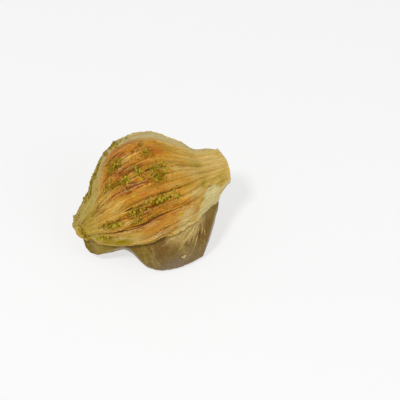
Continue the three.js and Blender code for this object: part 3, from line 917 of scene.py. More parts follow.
def shaded_and_worn_colour(tree, seen, colour):
    """The same with painted shade in the crevices, under loose sheet edges, where crevices gape and in small
    hollows, painted highlights along torn and free edges, and light flakes and stains from the nuts.
    """
    crisp, loose = seen["crisp"], seen["loose"]
    # Painted shade in the crevices, and painted shadow lines under the edges of loose sheets.
    shade = times(tree, seen["depth"], 0.8)
    # Painted shadow lines where one loose sheet starts under the edge of the one before.
    for kind, strength in (("", 0.9), ("fine_", 0.45)):
        shadow_line = soft_step(tree, seen[kind + "part"], 0.3, 0.05, 0.0, strength)
        shade = maths(tree, "MAXIMUM", shade, times(tree, shadow_line, seen[kind + "loose"]))
    colour = mixed(tree, shade, colour, CREVICE_SHADE_FILO)
    # Painted highlight along the far edge of each loose sheet and the free edge of each leaf.
    edge = times(tree, soft_step(tree, seen["part"], 0.65, 0.9, 0.0, 0.6), loose)
    free = times(tree, soft_step(tree, seen["across"], 0.8, 0.95, 0.0, 0.5), crisp)
    free = times(tree, free, soft_step(tree, seen["cream"], 0.0, 0.4, 1.0, 0.0))
    colour = mixed(tree, maths(tree, "MAXIMUM", edge, free), colour, FLAKE_AND_HIGHLIGHT_FILO)
    dashes = soft_step(tree, flow_noise(tree, seen, 60, 0.1, 1, 1), 0.36, 0.48)
    # Painted shade: black dashes where the crevices gape.
    hole_shade = times(tree, soft_step(tree, seen["holes"], 0.25, 0.55), dashes)
    colour = mixed(tree, hole_shade, colour, HOLE_SHADE_FILO)
    flakes = soft_step(tree, flow_noise(tree, seen, 75, 1.7, 2, 1), 0.66, 0.74, 0.0, 0.6)
    colour = mixed(tree, flakes, colour, FLAKE_AND_HIGHLIGHT_FILO)
    # Painted shade in small hollows.
    pit_shade = soft_step(tree, flow_noise(tree, seen, 60, 1.3, 3, 1), 0.62, 0.7, 0.0, 0.8)
    colour = mixed(tree, times(tree, pit_shade, crisp), colour, CREVICE_SHADE_FILO)
    stain = soft_step(tree, seen["blotches"], 0.35, 0.6, 0.6, 0.95)
    colour = mixed(tree, times(tree, seen["strewn"], stain), colour, NUT_STAIN)
    spot = add(tree, "ShaderNodeTexCoord").outputs["Object"]
    mottle = soft_step(tree, noise(tree, spot, 1100, 3, 0.7), 0.3, 0.7, -0.12, 0.12)
    mottle = times_plus(tree, mottle, soft_step(tree, crisp, 0.0, 1.0, 0.6, 1.0), 1.0)
    colour = scaled(tree, colour, mottle)
    return scaled(tree, colour, soft_step(tree, seen["fine_tone"], 0.0, 1.0, 0.9, 1.08))


def filo_finish():
    material, tree, shader = finish(
        "baked_filo", Coat_Weight=0.04, Coat_Roughness=0.3, Subsurface_Weight=0.1,
        Subsurface_Radius=(1.0, 0.5, 0.2), Subsurface_Scale=0.0005, Specular_IOR_Level=0.05,
    )
    seen = filo_patterns(tree)
    colour = shaded_and_worn_colour(tree, seen, baked_colour(tree, seen))
    dress(tree, shader, colour, flow_noise(tree, seen, 26, 3.2, 5, 4), 0.4, 0.0002)
    tree.links.new(soft_step(tree, seen["fibres"], 0.3, 0.7, 0.36, 0.56), shader.inputs["Roughness"])
    return material


FILO = filo_finish()
print("nodes in the finish of the filo:", len(FILO.node_tree.nodes))

# %% [markdown]
# ## Fine relief on the leaves
# No leaf is one sheet: each is two to five, and their edges show as small ledges along it. The leaves
# also buckle as they dry, and their free edges tear. All of this follows the leaves, so a geometry
# tree reads the stored attributes and moves each point outward or sideways by a rule with few sizes.

# %% The tree that roughens the leaves
RELIEF = {
    "Sheet step": 0.75 * MM,
    "Edge tear": 0.75 * MM,
    "Buckle": 0.5 * MM,
    "Flutter": 0.35 * MM,
    "Crackle": 0.2 * MM,
    "Seed": 4.0,
}


def relief_tree():
    tree, size = group("leaf_relief", RELIEF)
    place, turn, leaf = named(tree, "place"), named(tree, "turn"), named(tree, "leaf")
    across, leafy = named(tree, "across"), named(tree, "leafy")
    seeded = times_plus(tree, leaf, 3.7, size["Seed"])

    def leaf_noise(along_fan, round_fan, detail=2.0):
        flow = combined(tree, times(tree, place, along_fan), times(tree, turn, round_fan), seeded)
        return minus(tree, noise(tree, flow, 1.0, detail), 0.5)

    def sized(value, name):
        return times(tree, value, times(tree, size[name], 2.0))

    part, _, loose = sheet_parts(tree, place, turn, named(tree, "layer"), named(tree, "flaky"))
    ledge = times(tree, minus(tree, part, 0.5), size["Sheet step"])
    ledge = times(tree, ledge, times_plus(tree, loose, 1.2, 0.12))
    near_edge = soft_step(tree, across, 0.7, 1.0)
    torn = times(tree, sized(leaf_noise(75.0, 0.0, 4.0), "Edge tear"), near_edge)
    lift = plus(tree, ledge, torn)
    lift = plus(tree, lift, sized(leaf_noise(16.0, 0.05), "Buckle"))
    lift = plus(tree, lift, sized(leaf_noise(90.0, 1.1, 3.0), "Crackle"))
    flutter = times(tree, sized(leaf_noise(30.0, 0.0), "Flutter"), near_edge)
    out, side = (named(tree, key, "FLOAT_VECTOR") for key in ("outward", "sideways"))
    rise, shift = scaled(tree, out, times(tree, lift, leafy)), scaled(tree, side, times(tree, flutter, leafy))
    move = vectors(tree, "ADD", rise, shift)
    moved = add(tree, "GeometryNodeSetPosition", {"Geometry": size["Geometry"], "Offset": move})
    finish_group(tree, moved.outputs[0], FILO)
    return tree


grow(fan, relief_tree(), RELIEF)
print("leaves roughened:", len(fan.data.vertices), "points")

# %% [markdown]
# ## Torn sheets
# Along the free edges and the rims single sheets stand loose, curl over and break off. Each is drawn
# as a line on the surface, and a geometry tree extrudes that line three times, bending a little more
# each time, then ruffles it. A wall modifier gives the paper-thin sheet its two sides.

# %% Lines that the loose sheets stand on
SHEET_STEP = 0.0045
EDGE_PIECES, EDGE_LENGTHS, EDGE_RISES, EDGE_LEANS = 4, (0.08, 0.2), (0.5, 1.05), (15, 70)
EDGE_ASIDE, EDGE_ROOT, LOOSE_ROOT, LOOSE_WANDER = (0.55, 1.45), 0.35, 0.22, 0.8
# How many, a seed, and the least and the most of place, angle, length, rise and lean.
RIM_SHEETS = (70, 2000, ((0.3, 0.9), (-0.5, 13), (0.04, 0.16), (0.4, 0.95), (-80, 60)))
SKIRT_SHEETS = (40, 3000, ((0.52, 0.88), (-1.6, 2), (0.05, 0.13), (1.4, 3.4), (-88, -112)))
# The same without place and angle, which follow the flaky zones.
FACE_SHEETS = (340, 4000, ((0.03, 0.16), (0.35, 1.0), (-78, 78)))
LOOSE_LAYER, LAYER_STEP, LOOSE_LEAVES = 700, 3, 40
# Torn edges that cross the leaves: place and angle of both ends.
CROSSINGS = (
    (0.263, 50, 0.372, 55), (0.137, 67, 0.25, 74), (0.242, 93, 0.321, 91), (0.455, 95, 0.513, 92),
    (0.389, 84, 0.434, 82), (0.325, 65, 0.368, 64), (0.418, 47, 0.5, 46), (0.265, 67, 0.343, 70),
    (0.5, 39, 0.577, 40), (0.544, 63, 0.583, 58), (0.385, 10, 0.475, 7), (0.587, 10, 0.655, 10),
    (0.735, 35, 0.808, 37), (0.3, 158, 0.42, 163), (0.5, 172, 0.62, 166), (0.4, 188, 0.5, 182),
)
CROSSING_STEPS, CROSSING_RISE, CROSSING_LEAN = 26, 0.9, -50


def edge_sheet(leaf, start, end, seed):
    """A sheet that stands on the free edge of a leaf: places, angles, heights, rise and lean."""
    place = np.arange(start, end, SHEET_STEP)
    faces_back = leaf < FIRST_BACK_LEAF
    turn = edge_angle(leaf + 1 if faces_back else leaf, place)
    side = 1 if faces_back else -1
    turn = turn + side * (LEAF_OVERHANG - lerp(*EDGE_ASIDE, chance(seed)))
    height = (1 - CREVICE_SHARE) * leaf_height(leaf, place) - EDGE_ROOT
    rise, lean = lerp(*EDGE_RISES, chance(seed + 1)), side * lerp(*EDGE_LEANS, chance(seed + 2))
    return place, turn, height, rise, lean


def loose_sheet(seed, middles, fulls, lengths, rises, leans):
    """A sheet torn loose on a leaf or a rim. Each pair holds the least and the most of a size."""
    middle, full, length, rise, lean = (
        lerp(*pair, chance(seed + 100 * k)) for k, pair in enumerate((middles, fulls, lengths, rises, leans))
    )
    place = np.arange(middle - length / 2, middle + length / 2, SHEET_STEP)
    turn = line_angle(full, place) + LOOSE_WANDER * ripple(place, seed + 7, 4)
    return place, turn, relief_at(place, turn) - LOOSE_ROOT, rise, lean


def edge_lines():
    """Lines on the free edges of the leaves, where the fan is flaky."""
    lines = []
    for leaf in range(len(LEAF_WIDTHS)):
        for piece in range(EDGE_PIECES):
            seed = 900 + 37 * leaf + 5 * piece
            start = 0.1 + 0.155 * piece + 0.06 * chance(seed + 9)
            line = edge_sheet(leaf, start, start + lerp(*EDGE_LENGTHS, chance(seed + 10)), seed)
            if patches(FLAKY, line[0], line[1]).mean() > 0.2:
                lines.append(line)
    return lines


def face_lines():
    """Lines on the faces of the leaves: the larger and stronger a flaky zone, the more of them."""
    count, first, sizes = FACE_SHEETS
    weights = np.cumsum([length * width * strength for _, _, length, width, strength in FLAKY])
    lines = []
    for n in range(count):
        zone = FLAKY[int(np.searchsorted(weights, chance(first + 1000 + n) * weights[-1]))]
        reaches = [(middle - reach, middle + reach) for middle, reach in (zone[0::2][:2], zone[1::2])]
        lines.append(loose_sheet(first + n, *reaches, *sizes))
    return lines


def sheet_lines():
    lines = edge_lines()
    for count, first, sizes in (RIM_SHEETS, SKIRT_SHEETS):
        lines += [loose_sheet(first + n, *sizes) for n in range(count)]
    lines += face_lines()
    for start, start_turn, end, end_turn in CROSSINGS:
        place = np.linspace(start, end, CROSSING_STEPS)
        turn = np.linspace(start_turn, end_turn, CROSSING_STEPS) + 0.6 * ripple(place, 31, 9)
        height = relief_at(place, turn) - LOOSE_ROOT
        lines.append((place, turn, height, CROSSING_RISE, CROSSING_LEAN))
    return lines


loose_lines = sheet_lines()
print("lines that loose sheets stand on:", len(loose_lines))

# %% The lines as one mesh of edges
def sheet_mesh(lines):
    """All the lines as one mesh of edges, with what the tree needs to know at each point."""
    points, edges, extras = [], [], {}
    for n, (place, turn, height, rise, lean) in enumerate(lines):
        first = sum(len(p) for p in points)
        points.append(fan_point(place, turn, bed_radius(place, turn) + height))
        edges += [(first + i, first + i + 1) for i in range(len(place) - 1)]
        fade = np.sin(np.pi * np.linspace(0, 1, len(place))) ** 0.6
        same = {
            "lean": np.radians(lean), "sheet": n, "leaf": n % LOOSE_LEAVES,
            "layer": LOOSE_LAYER + LAYER_STEP * n,
        }
        facts = {name: value + 0 * place for name, value in same.items()}
        facts |= {"rise": rise * fade * MM, **zone_values(place, turn)}
        for key, values in facts.items():
            extras.setdefault(key, []).append(values)
    extras = {key: np.concatenate(values) for key, values in extras.items()}
    return mesh_piece("torn_sheets", np.concatenate(points), [], extras, edges)


sheets = sheet_mesh(loose_lines)
print("points on those lines:", len(sheets.data.vertices))

# %% The tree that raises them
SHEETS = {"Tear": 0.7, "Ruffle": 0.35 * MM, "Seed": 9.0}
SHEET_THICKNESS = 0.13 * MM
SHEET_RISES = 3


def sheet_tree():
    tree, size = group("torn_sheets", SHEETS)
    place, sheet, lean = named(tree, "place"), named(tree, "sheet"), named(tree, "lean")
    out, side = (named(tree, key, "FLOAT_VECTOR") for key in ("outward", "sideways"))
    seeded = times_plus(tree, sheet, 5.3, size["Seed"])

    def line_noise(waves, shift):
        return noise(tree, combined(tree, times(tree, place, waves), seeded, shift), 1.0, 3.0)

    torn = minus(tree, line_noise(60.0, 0.0), 0.35)
    torn = maths(tree, "MULTIPLY_ADD", torn, times(tree, size["Tear"], 3.0), 0.6, clamp=True)
    step = times(tree, named(tree, "rise"), times(tree, torn, 1 / SHEET_RISES))
    geometry, top = size["Geometry"], None
    for k in range(SHEET_RISES):
        bend = times(tree, lean, 0.35 + 0.65 * (k + 1) / SHEET_RISES)
        rise = scaled(tree, out, times(tree, maths(tree, "COSINE", bend), step))
        shift = scaled(tree, side, times(tree, maths(tree, "SINE", bend), step))
        move = vectors(tree, "ADD", rise, shift)
        ruffle = minus(tree, line_noise(34.0, 3.0 + k), 0.5)
        ruffle = times(tree, ruffle, times(tree, size["Ruffle"], 0.8 * (k + 1)))
        move = vectors(tree, "ADD", move, scaled(tree, side, ruffle))
        inputs = {"Mesh": geometry, "Offset": move, "Offset Scale": 1.0}
        if top:
            inputs["Selection"] = top
        risen = add(tree, "GeometryNodeExtrudeMesh", inputs, mode="EDGES")
        geometry, top = risen.outputs["Mesh"], risen.outputs["Top"]
    finish_group(tree, geometry, FILO)
    return tree


grow(sheets, sheet_tree(), SHEETS, SHEET_THICKNESS)
print("torn sheets:", len(sheets.data.polygons), "faces")

# %% [markdown]
# ## Ground pistachio
# The nuts are ground to grains of about a millimetre, strewn over the crest, and have fallen between
# the leaves in clusters. Placing hundreds by hand is hopeless, so the surface carries a density made
# of the same clusters, points are scattered by it, and each point gets one of five uneven grains with
# its own turn, size and tint. The larger grains stand where the solid has them.

# %% Grain shapes
NUT_SIZE = (0.6, 1.05)
NUT_SUNK = 0.35
NUT_SHRINK = 0.9
GRAIN_SHAPES = 5


def grain_shape(n):
    """An uneven grain of unit radius: an octahedron cut once finer, with 32 faces."""
    corners = np.array([(1, 0, 0), (-1, 0, 0), (0, 1, 0), (0, -1, 0), (0, 0, 1), (0, 0, -1)], float)
    faces, points, known = [], list(corners), {}

    def middle(a, b):
        key = (min(a, b), max(a, b))
        if key not in known:
            known[key] = len(points)
            spot = points[a] + points[b]
            points.append(spot / np.linalg.norm(spot))
        return known[key]

    for x in (0, 1):
        for y in (2, 3):
            for z in (4, 5):
                a, b, c = (x, y, z) if (x + y + z) % 2 == 0 else (y, x, z)
                ab, bc, ca = middle(a, b), middle(b, c), middle(c, a)
                faces += [(a, ab, ca), (ab, b, bc), (ca, bc, c), (ab, bc, ca)]
    lumps = lerp(0.72, 1.2, chance(np.arange(len(points)) + 50 * n))
    stretch = lerp(0.7, 1.1, chance(np.array((1, 2, 3)) + 70 * n)) * (1.7, 0.95, 0.6)
    shape = np.array(points) * lumps[:, None] * stretch / MM
    return mesh_piece(f"grain_{n}", shape, faces)


grains = bpy.data.collections.new("grain shapes")
for n in range(GRAIN_SHAPES):
    shape = grain_shape(n)
    bpy.context.scene.collection.objects.unlink(shape)
    grains.objects.link(shape)
print("faces of one grain:", len(shape.data.polygons))

# %% The finish of the nuts
# From roasted skin over the green flesh to a few pale broken faces.
NUT_TINTS = (
    (0.0, srgb(64, 38, 0)), (0.25, srgb(108, 78, 2)), (0.5, srgb(140, 116, 12)),
    (0.75, srgb(156, 138, 26)), (0.87, srgb(188, 168, 54)), (0.94, srgb(158, 160, 36)),
    (1.0, srgb(210, 164, 84)),
)
NUT_MOTTLE = srgb(110, 84, 2)


def nut_finish():
    material, tree, shader = finish(
        "ground_pistachio", Roughness=0.6, Subsurface_Weight=0.1,
        Subsurface_Radius=(0.6, 0.7, 0.2), Subsurface_Scale=0.0004, Specular_IOR_Level=0.06,
    )
    colour = ramp(tree, attribute(tree, "tint"), NUT_TINTS)
    place = add(tree, "ShaderNodeTexCoord").outputs["Object"]
    mottle = soft_step(tree, noise(tree, place, 2600, 3), 0.3, 0.7, 0.0, 0.45)
    dress(tree, shader, mixed(tree, mottle, colour, NUT_MOTTLE), noise(tree, place, 5000, 3), 0.5, 0.0001)
    return material


NUT = nut_finish()
print("tints of the nuts:", len(NUT_TINTS))

# %% Where the grains lie
def large_grains():
    """The larger grains, where the solid has them."""
    spots, radii = [], []
    for cluster, (middle, centre, length, width, count) in enumerate(NUT_CLUSTERS):
        seed = 1000 * (cluster + 1) + 10 * np.arange(count)
        place = middle + length * (2 * chance(seed) - 1)
        turn = centre + width * (2 * chance(seed + 1) - 1)
        radius = lerp(*NUT_SIZE, chance(seed + 2))
        lift = relief_at(place, turn) + radius * (1 - 2 * NUT_SUNK)
        spots.append(point_at(place, turn, bed_radius(place, turn) + lift))
        radii.append(NUT_SHRINK * radius * MM)
    return np.concatenate(spots), np.concatenate(radii)


large, radii = large_grains()
nuts = mesh_piece("ground_nuts", large, [], {"grain_size": radii})
print("larger grains:", len(large))

# %% The tree that strews them
STREWN = {
    "Most grains per mm2": 7.0,
    "Least share": 0.2,
    "Least gap": 0.4 * MM,
    "Smallest": 0.24 * MM,
    "Largest": 0.66 * MM,
    "Seed": 3.0,
}
FULL_TURN = 6.28
GRAIN_FACES = 32


def nut_tree():
    tree, size = group("strewn_nuts", STREWN)
    surface = add(tree, "GeometryNodeObjectInfo", {"Object": fan}, transform_space="ORIGINAL")
    shapes = add(tree, "GeometryNodeCollectionInfo", {
        "Collection": grains, "Separate Children": True, "Reset Children": True,
    })
    where = add(tree, "GeometryNodeInputPosition").outputs[0]
    clumps = soft_step(tree, noise(tree, where, 420.0, 2), 0.4, 0.56, size["Least share"], 1.0)
    scattered = add(tree, "GeometryNodeDistributePointsOnFaces", {
        "Mesh": surface.outputs["Geometry"],
        "Distance Min": size["Least gap"],
        "Density Max": times(tree, size["Most grains per mm2"], 1 / MM**2),
        "Density Factor": times(tree, named(tree, "strewn"), clumps),
        "Seed": size["Seed"],
    }, distribute_method="POISSON").outputs["Points"]

    def stored(points, name, limits=None):
        value = add(tree, "FunctionNodeRandomValue", limits, data_type="FLOAT").outputs[1]
        inputs = {"Geometry": points, "Name": name, "Value": value}
        kept = add(tree, "GeometryNodeStoreNamedAttribute", inputs, data_type="FLOAT", domain="POINT")
        return kept.outputs[0]

    sized = stored(scattered, "grain_size", {2: size["Smallest"], 3: size["Largest"]})
    lifted = add(tree, "GeometryNodeMeshToPoints", {"Mesh": size["Geometry"]}).outputs[0]
    both = add(tree, "GeometryNodeJoinGeometry")
    for part in (sized, lifted):
        tree.links.new(part, both.inputs[0])
    spin = add(tree, "FunctionNodeRandomValue", {1: (FULL_TURN,) * 3}, data_type="FLOAT_VECTOR")
    placed = add(tree, "GeometryNodeInstanceOnPoints", {
        "Points": stored(both.outputs[0], "tint"), "Instance": shapes.outputs[0], "Pick Instance": True,
        "Rotation": spin.outputs[0], "Scale": named(tree, "grain_size"),
    }).outputs[0]
    finish_group(tree, placed, NUT)
    return tree


grow(nuts, nut_tree(), STREWN)
nuts.data.shade_flat()
for shape in list(grains.objects):
    bpy.data.objects.remove(shape)
bpy.data.collections.remove(grains)
print("ground nuts:", len(nuts.data.polygons) // GRAIN_FACES, "grains")

# %% [markdown]
# ## The soft leaf with the filling
# Below the fan one leaf stayed soft and wet with syrup. It bulges over the filling, rests on a flat
# underside and is drawn together towards the tail in creases. It follows the same rule of radii, and
# the creases fan out from the point where the leaf is gathered.

# %% Radii of the soft leaf
BELLY_FRONT = (
    (-0.004, 10.5), (0.012, 13.8), (0.03, 14.8), (0.06, 15.2), (0.1, 15.9), (0.14, 16.8),
    (0.21, 17.8), (0.25, 19.8), (0.305, 27), (0.37, 30.4), (0.45, 33.6), (0.53, 34.6),
    (0.614, 33), (0.69, 27.6), (0.762, 22), (0.83, 16.6), (0.87, 13), (0.905, 4),
)
BELLY_DOWN = (
    (-0.004, 6.8), (0.012, 9.4), (0.03, 9.6), (0.06, 10), (0.1, 10.4), (0.14, 10.8), (0.21, 11.6),
    (0.25, 15.6), (0.28, 22.4), (0.34, 27.8), (0.45, 32.5), (0.53, 34.4), (0.614, 33.4),
    (0.69, 29.6), (0.762, 24.6), (0.83, 18), (0.87, 13), (0.905, 4),
)
BELLY_BACK = (
    (0.004, 6), (0.12, 11), (0.21, 18), (0.3, 24), (0.45, 28), (0.56, 28.6), (0.69, 24), (0.8, 16),
    (0.87, 9), (0.905, 3),
)
BELLY_UP = ((0.004, 7), (0.14, 12), (0.34, 22), (0.56, 24.5), (0.7, 20), (0.87, 11), (0.905, 8))
BELLY_SQUARENESS = 2.5
SWELL_PER_DEGREE = ((0, 0.72), (0.2, 0.45), (0.3, 0.34), (1, 0.34))
BASE_ROUNDING = 0.14
LIP_INSET = 1.3
CREASE_DEPTH, CREASES, CREASE_LEAN, CREASE_START = 0.35, 11, 9, 12


def belly_radius(place, angle):
    reaches = [along(knots, place) for knots in (BELLY_FRONT, BELLY_UP, BELLY_BACK, BELLY_DOWN)]
    oval = oval_radius(angle, *reaches, BELLY_SQUARENESS)
    front, back = rims(place)
    turned = np.where(angle < -90, angle + 360, angle)
    below = np.where(turned < front, front - turned, np.maximum(0, turned - back))
    skin = skin_thickness((turned - front) / (back - front))
    under = bed_radius(place, angle) - skin - GAP + below * along(SWELL_PER_DEGREE, place)
    wave = np.sin(CREASES * np.radians(angle) + CREASE_LEAN * place)
    crease = CREASE_DEPTH * wave * np.clip(below / CREASE_START, 0, 1)
    return np.maximum(LEAST_RADIUS, np.minimum(oval, under) + crease), below


def rested(radius, ground):
    """The radius held back softly by the surface that the piece stands on."""
    reach = radius / ground
    eased = ground * (reach - (reach - 1 + BASE_ROUNDING) ** 2 / (4 * BASE_ROUNDING))
    held = np.where(reach >= 1 + BASE_ROUNDING, ground, eased)
    return np.where(reach <= 1 - BASE_ROUNDING, radius, held)


front_radius, _ = belly_radius(0.5, -20.0)
print("radius in the middle of the front in mm:", round(float(front_radius), 1))

# %% Creases listed one by one, and the notch that the fine ones start from
CREASE_RADIUS = 25
# Place and angle of both ends, half width in mm, height in mm (below 0 for a groove), paleness (below 0 for
# painted shade in a groove).
CREASE_LINES = (
    (0.77, -9, 0.524, -19.1, 0.3, 0.3, 0.5), (0.72, -6.5, 0.6, -11.6, 0.3, 0.25, 0.4),
    (0.74, -10.5, 0.635, -20.5, 0.3, 0.4, 0.5), (0.72, -12.6, 0.652, -21, 0.26, -0.4, -0.8),
    (0.716, -15.6, 0.664, -22.5, 0.28, -0.45, -0.8), (0.64, -15.6, 0.51, -20.5, 0.28, 0.3, 0.4),
    (0.67, -7.5, 0.521, -12.6, 0.28, 0.25, 0.4), (0.68, -8.2, 0.56, -12.4, 0.24, -0.25, -0.5),
    (0.62, -7.2, 0.49, -10, 0.28, 0.25, 0.4), (0.54, -8.2, 0.42, -11.5, 0.24, 0.2, 0.4),
    (0.8, -12, 0.7, -30, 0.35, -0.3, -0.4), (0.69, -20, 0.636, -34, 0.3, -0.3, -0.5),
    (0.68, -15, 0.606, -21.5, 0.25, -0.3, -0.6), (0.38, -5, 0.37, -34, 0.8, 0.35, 0.35),
    (0.345, -6, 0.3, -30, 0.6, 0.25, 0.3), (0.41, -8, 0.41, -40, 0.5, -0.35, -0.35),
    (0.33, -10, 0.33, -40, 0.5, -0.25, -0.35), (0.36, -12, 0.345, -38, 0.4, 0.2, 0.3),
    (0.56, -20, 0.55, -36, 0.6, 0.25, 0.15), (0.48, -14, 0.47, -30, 0.7, -0.2, -0.15),
)
BACK_CREASES = 40
FIBRES, UPWARD_SHARE = 54, 0.62
NOTCH = (0.752, -10.5)
print("larger creases:", len(CREASE_LINES) + BACK_CREASES)

# %% Fine fibres, and the creases at the back
def fine_fibre(n):
    """A fibre that runs from the notch under the tail out over the front of the soft leaf."""
    heading = np.radians(lerp(-6, 80, (n + chance(n + 10)) / FIBRES))
    near = lerp(0.5, 7, chance(n + 600))
    far = near + lerp(4, 13, chance(n + 700)) * lerp(1.2, 0.7, n / FIBRES)
    ends = []
    for reach in (near, far):
        ends.append(NOTCH[0] - reach * np.cos(heading) / LENGTH)
        ends.append(NOTCH[1] - np.degrees(reach * np.sin(heading) / CREASE_RADIUS))
    # A fibre that stands up is pale; one pressed in as a groove gets painted shade.
    sign = 1 if chance(n + 800) < UPWARD_SHARE else -1
    strength = lerp(0.3, 1, chance(n + 900)) * sign
    return *ends, lerp(0.14, 0.26, chance(n + 950)), 0.18 * strength, 0.5 * strength


def back_crease(n):
    """A crease on the side that faces away, which fans out from the tail like those in front."""
    start, turn = lerp(0.5, 0.8, chance(n)), lerp(228, 262, chance(n + 100))
    length, fall = lerp(0.06, 0.2, chance(n + 200)), lerp(-4, 16, chance(n + 300))
    # A crease that stands up is pale; a groove gets painted shade.
    sign = 1 if chance(n + 400) < 0.65 else -1
    return start, turn, start - length, turn + fall, 0.4, 0.35 * sign, 0.6 * sign


def unrolled(place, angle):
    """Distances in mm along the fan and round it, as if the leaf were laid flat."""
    return place * LENGTH, np.radians(angle) * CREASE_RADIUS


def creased(place, angle):
    """The height of the creases at each point, and how pale (above 0) they are or how much painted shade
    their grooves get (below 0).
    """
    along_fan, round_fan = unrolled(place, angle)
    height, pale = 0.0, 0.0
    fibres, back = map(fine_fibre, range(FIBRES)), map(back_crease, range(BACK_CREASES))
    for n, line in enumerate((*CREASE_LINES, *fibres, *back)):
        start, end = np.array(unrolled(*line[:2])), np.array(unrolled(*line[2:4]))
        width, tall, tint = line[4:]
        run = end - start
        length = np.hypot(*run)
        away = along_fan - start[0], round_fan - start[1]
        share = (away[0] * run[0] + away[1] * run[1]) / length**2
        aside = (away[0] * run[1] - away[1] * run[0]) / length
        aside = (aside + 0.3 * ripple(share, 70 + n, 1.6)) / (width * (0.75 + 0.5 * share))
        on = np.exp(-(aside**2)) * smooth(-0.12, 0.12, share) * smooth(1.1, 0.7, share)
        height, pale = height + tall * on, pale + tint * on
    return height, np.clip(pale, -1, 1)


print("one fibre:", *(round(float(value), 2) for value in fine_fibre(0)))

# %% Where the soft leaf is brown, olive, grey or pale
# For each tint its colour, its most share, and patches: place, angle, reach along and round, strength.
BELLY_TINTS = {
    # brown: darker dough, and at -4 degrees just under the front rim a painted shadow of the rim.
    "brown": (srgb(104, 70, 24), 0.9, (
        (0.75, -26, 0.05, 9, 1.5), (0.3, -4, 0.1, 5, 1.2), (0.15, -4, 0.1, 5, 1.2),
        (0.46, -15, 0.09, 6, 0.6), (0.5, 240, 0.1, 14, 0.5), (0.67, -22, 0.025, 3.5, 1.1),
        (0.655, -29, 0.03, 4, 0.6), (0.37, -13, 0.02, 5, 0.8),
    )),
    "olive": (srgb(138, 118, 38), 0.85, (
        (0.32, -14, 0.05, 16, 0.8), (0.82, -35, 0.06, 16, 0.9), (0.66, -32, 0.04, 8, 0.5),
        (0.1, -40, 0.12, 60, 1.2), (0.42, 262, 0.1, 20, 0.5),
    )),
    # grey: a painted reflection of the pale floor, low on the front and under the back.
    "grey": (srgb(126, 108, 90), 0.9, ((0.47, -33, 0.12, 7, 1.2), (0.5, 285, 0.2, 30, 0.5))),
    "pale": (srgb(190, 164, 100), 0.85, (
        (0.67, -10, 0.09, 7, 1.5), (0.56, -10, 0.07, 5, 1.2), (0.65, -15, 0.04, 5, 0.5),
        (0.78, -8, 0.04, 6, 0.4), (0.6, 250, 0.15, 12, 0.5), (0.06, -18, 0.07, 12, 0.15),
        (0.57, -30, 0.05, 6, 0.25), (0.62, -19, 0.02, 3, 0.7), (0.555, -22, 0.02, 6, 0.45),
    )),
}
# Three crumbs of dough that stick to it.
BELLY_CRUMBS = (
    (0.547, -28.2, 0.006, 0.8, 1.2), (0.529, -28.4, 0.006, 0.7, 1.2), (0.538, -29.6, 0.007, 0.7, 1.1),
)
print("patches on the soft leaf:", {name: len(places) for name, (_, _, places) in BELLY_TINTS.items()})

# %% Its grid of points, creased and set down on the ground
BELLY_ROWS = 240
# Columns from one angle to the next, closest together on the front, where the creases are finest.
BELLY_COLUMNS = ((-90, -58, 24), (-58, 8, 176), (8, 270, 150))
CRUMB_RISE, SKIN_SINK, DIMPLE = 0.3, 0.3, 0.25
LEAST_DROP, NO_GROUND = 0.01, 1e6
BELLY_CAP_STEPS = 5
spread = np.linspace(0, 1, BELLY_ROWS)[:, None]
belly_place = lerp(BELLY_FRONT[0][0], BELLY_FRONT[-1][0], spread**1.1)
stretches = [np.linspace(low, high, n, endpoint=False) for low, high, n in BELLY_COLUMNS]
belly_angle = np.concatenate(stretches)[None, :]
radius, below = belly_radius(belly_place, belly_angle)
crease_height, crease = creased(belly_place, belly_angle)
crumbs = patches(BELLY_CRUMBS, belly_place, belly_angle)
crease_height = crease_height + CRUMB_RISE * crumbs
free = smooth(0, 5, below)
dimple = DIMPLE * ripple(belly_place + belly_angle / 400, 31, 9)
dimple = dimple * ripple(belly_angle / 360 - belly_place, 47, 14)
radius = radius + free * (crease_height - SKIN_SINK + dimple)
drop_share = -np.sin(np.radians(belly_angle)) * UP[2]
floor_at = lerp(TIP[2], TAIL[2], belly_place) / np.maximum(drop_share, LEAST_DROP)
on_ground = np.where(drop_share > LEAST_DROP, floor_at, NO_GROUND)
belly_points = point_at(belly_place, belly_angle, rested(radius, on_ground))
inset = LIP_INSET * smooth(-40, -28, belly_angle) * smooth(60, 20, belly_angle)
inset = inset * smooth(0.06, 0, belly_place)
belly_points = belly_points + AXIS * inset[..., None]
print("soft leaf, rows and columns:", belly_points.shape[:2])

# %% The soft leaf as a mesh
belly_extras = {
    "crease": crease * free,
    "crumb": crumbs,
    "place": belly_place + 0 * belly_angle,
    "turn": belly_angle + 0 * belly_place,
}
for tint, (_, _, places) in BELLY_TINTS.items():
    belly_extras[tint] = patches(places, belly_place, belly_angle)
belly_points, belly_extras = with_caps(belly_points, belly_extras, BELLY_CAP_STEPS, lambda s: 0.0)
belly = mesh_piece("soft_leaf", belly_points, grid_faces(*belly_points.shape[:2]), belly_extras)
belly.data.shade_smooth()
print("soft leaf:", len(belly.data.polygons) * 2, "triangles")

# %% [markdown]
# ## The finish of the soft leaf
# Syrup has made this leaf glassy: the filling shows through it as a dull olive brown, and the creases,
# where the dough lies double, stay pale. The grooves between them get painted shade, the dough just
# under the front rim a painted shadow of the rim, and the underside a painted grey reflection of the
# floor. A smooth coat over a slightly rough base gives the wet look without losing the colour.

# %% Syrup-soaked dough
DOUGH_RAMP = (
    (0.28, srgb(86, 60, 18)), (0.42, srgb(112, 80, 36)), (0.5, srgb(112, 92, 32)),
    (0.6, srgb(124, 94, 54)), (0.74, srgb(140, 112, 58)),
)
DOUGH_FIBRE, CREASE_LIGHT = srgb(168, 142, 84), srgb(198, 174, 110)
# Painted shade in the grooves of the creases.
CREASE_SHADE, CRUMB_TINT = srgb(78, 52, 16), srgb(208, 186, 122)


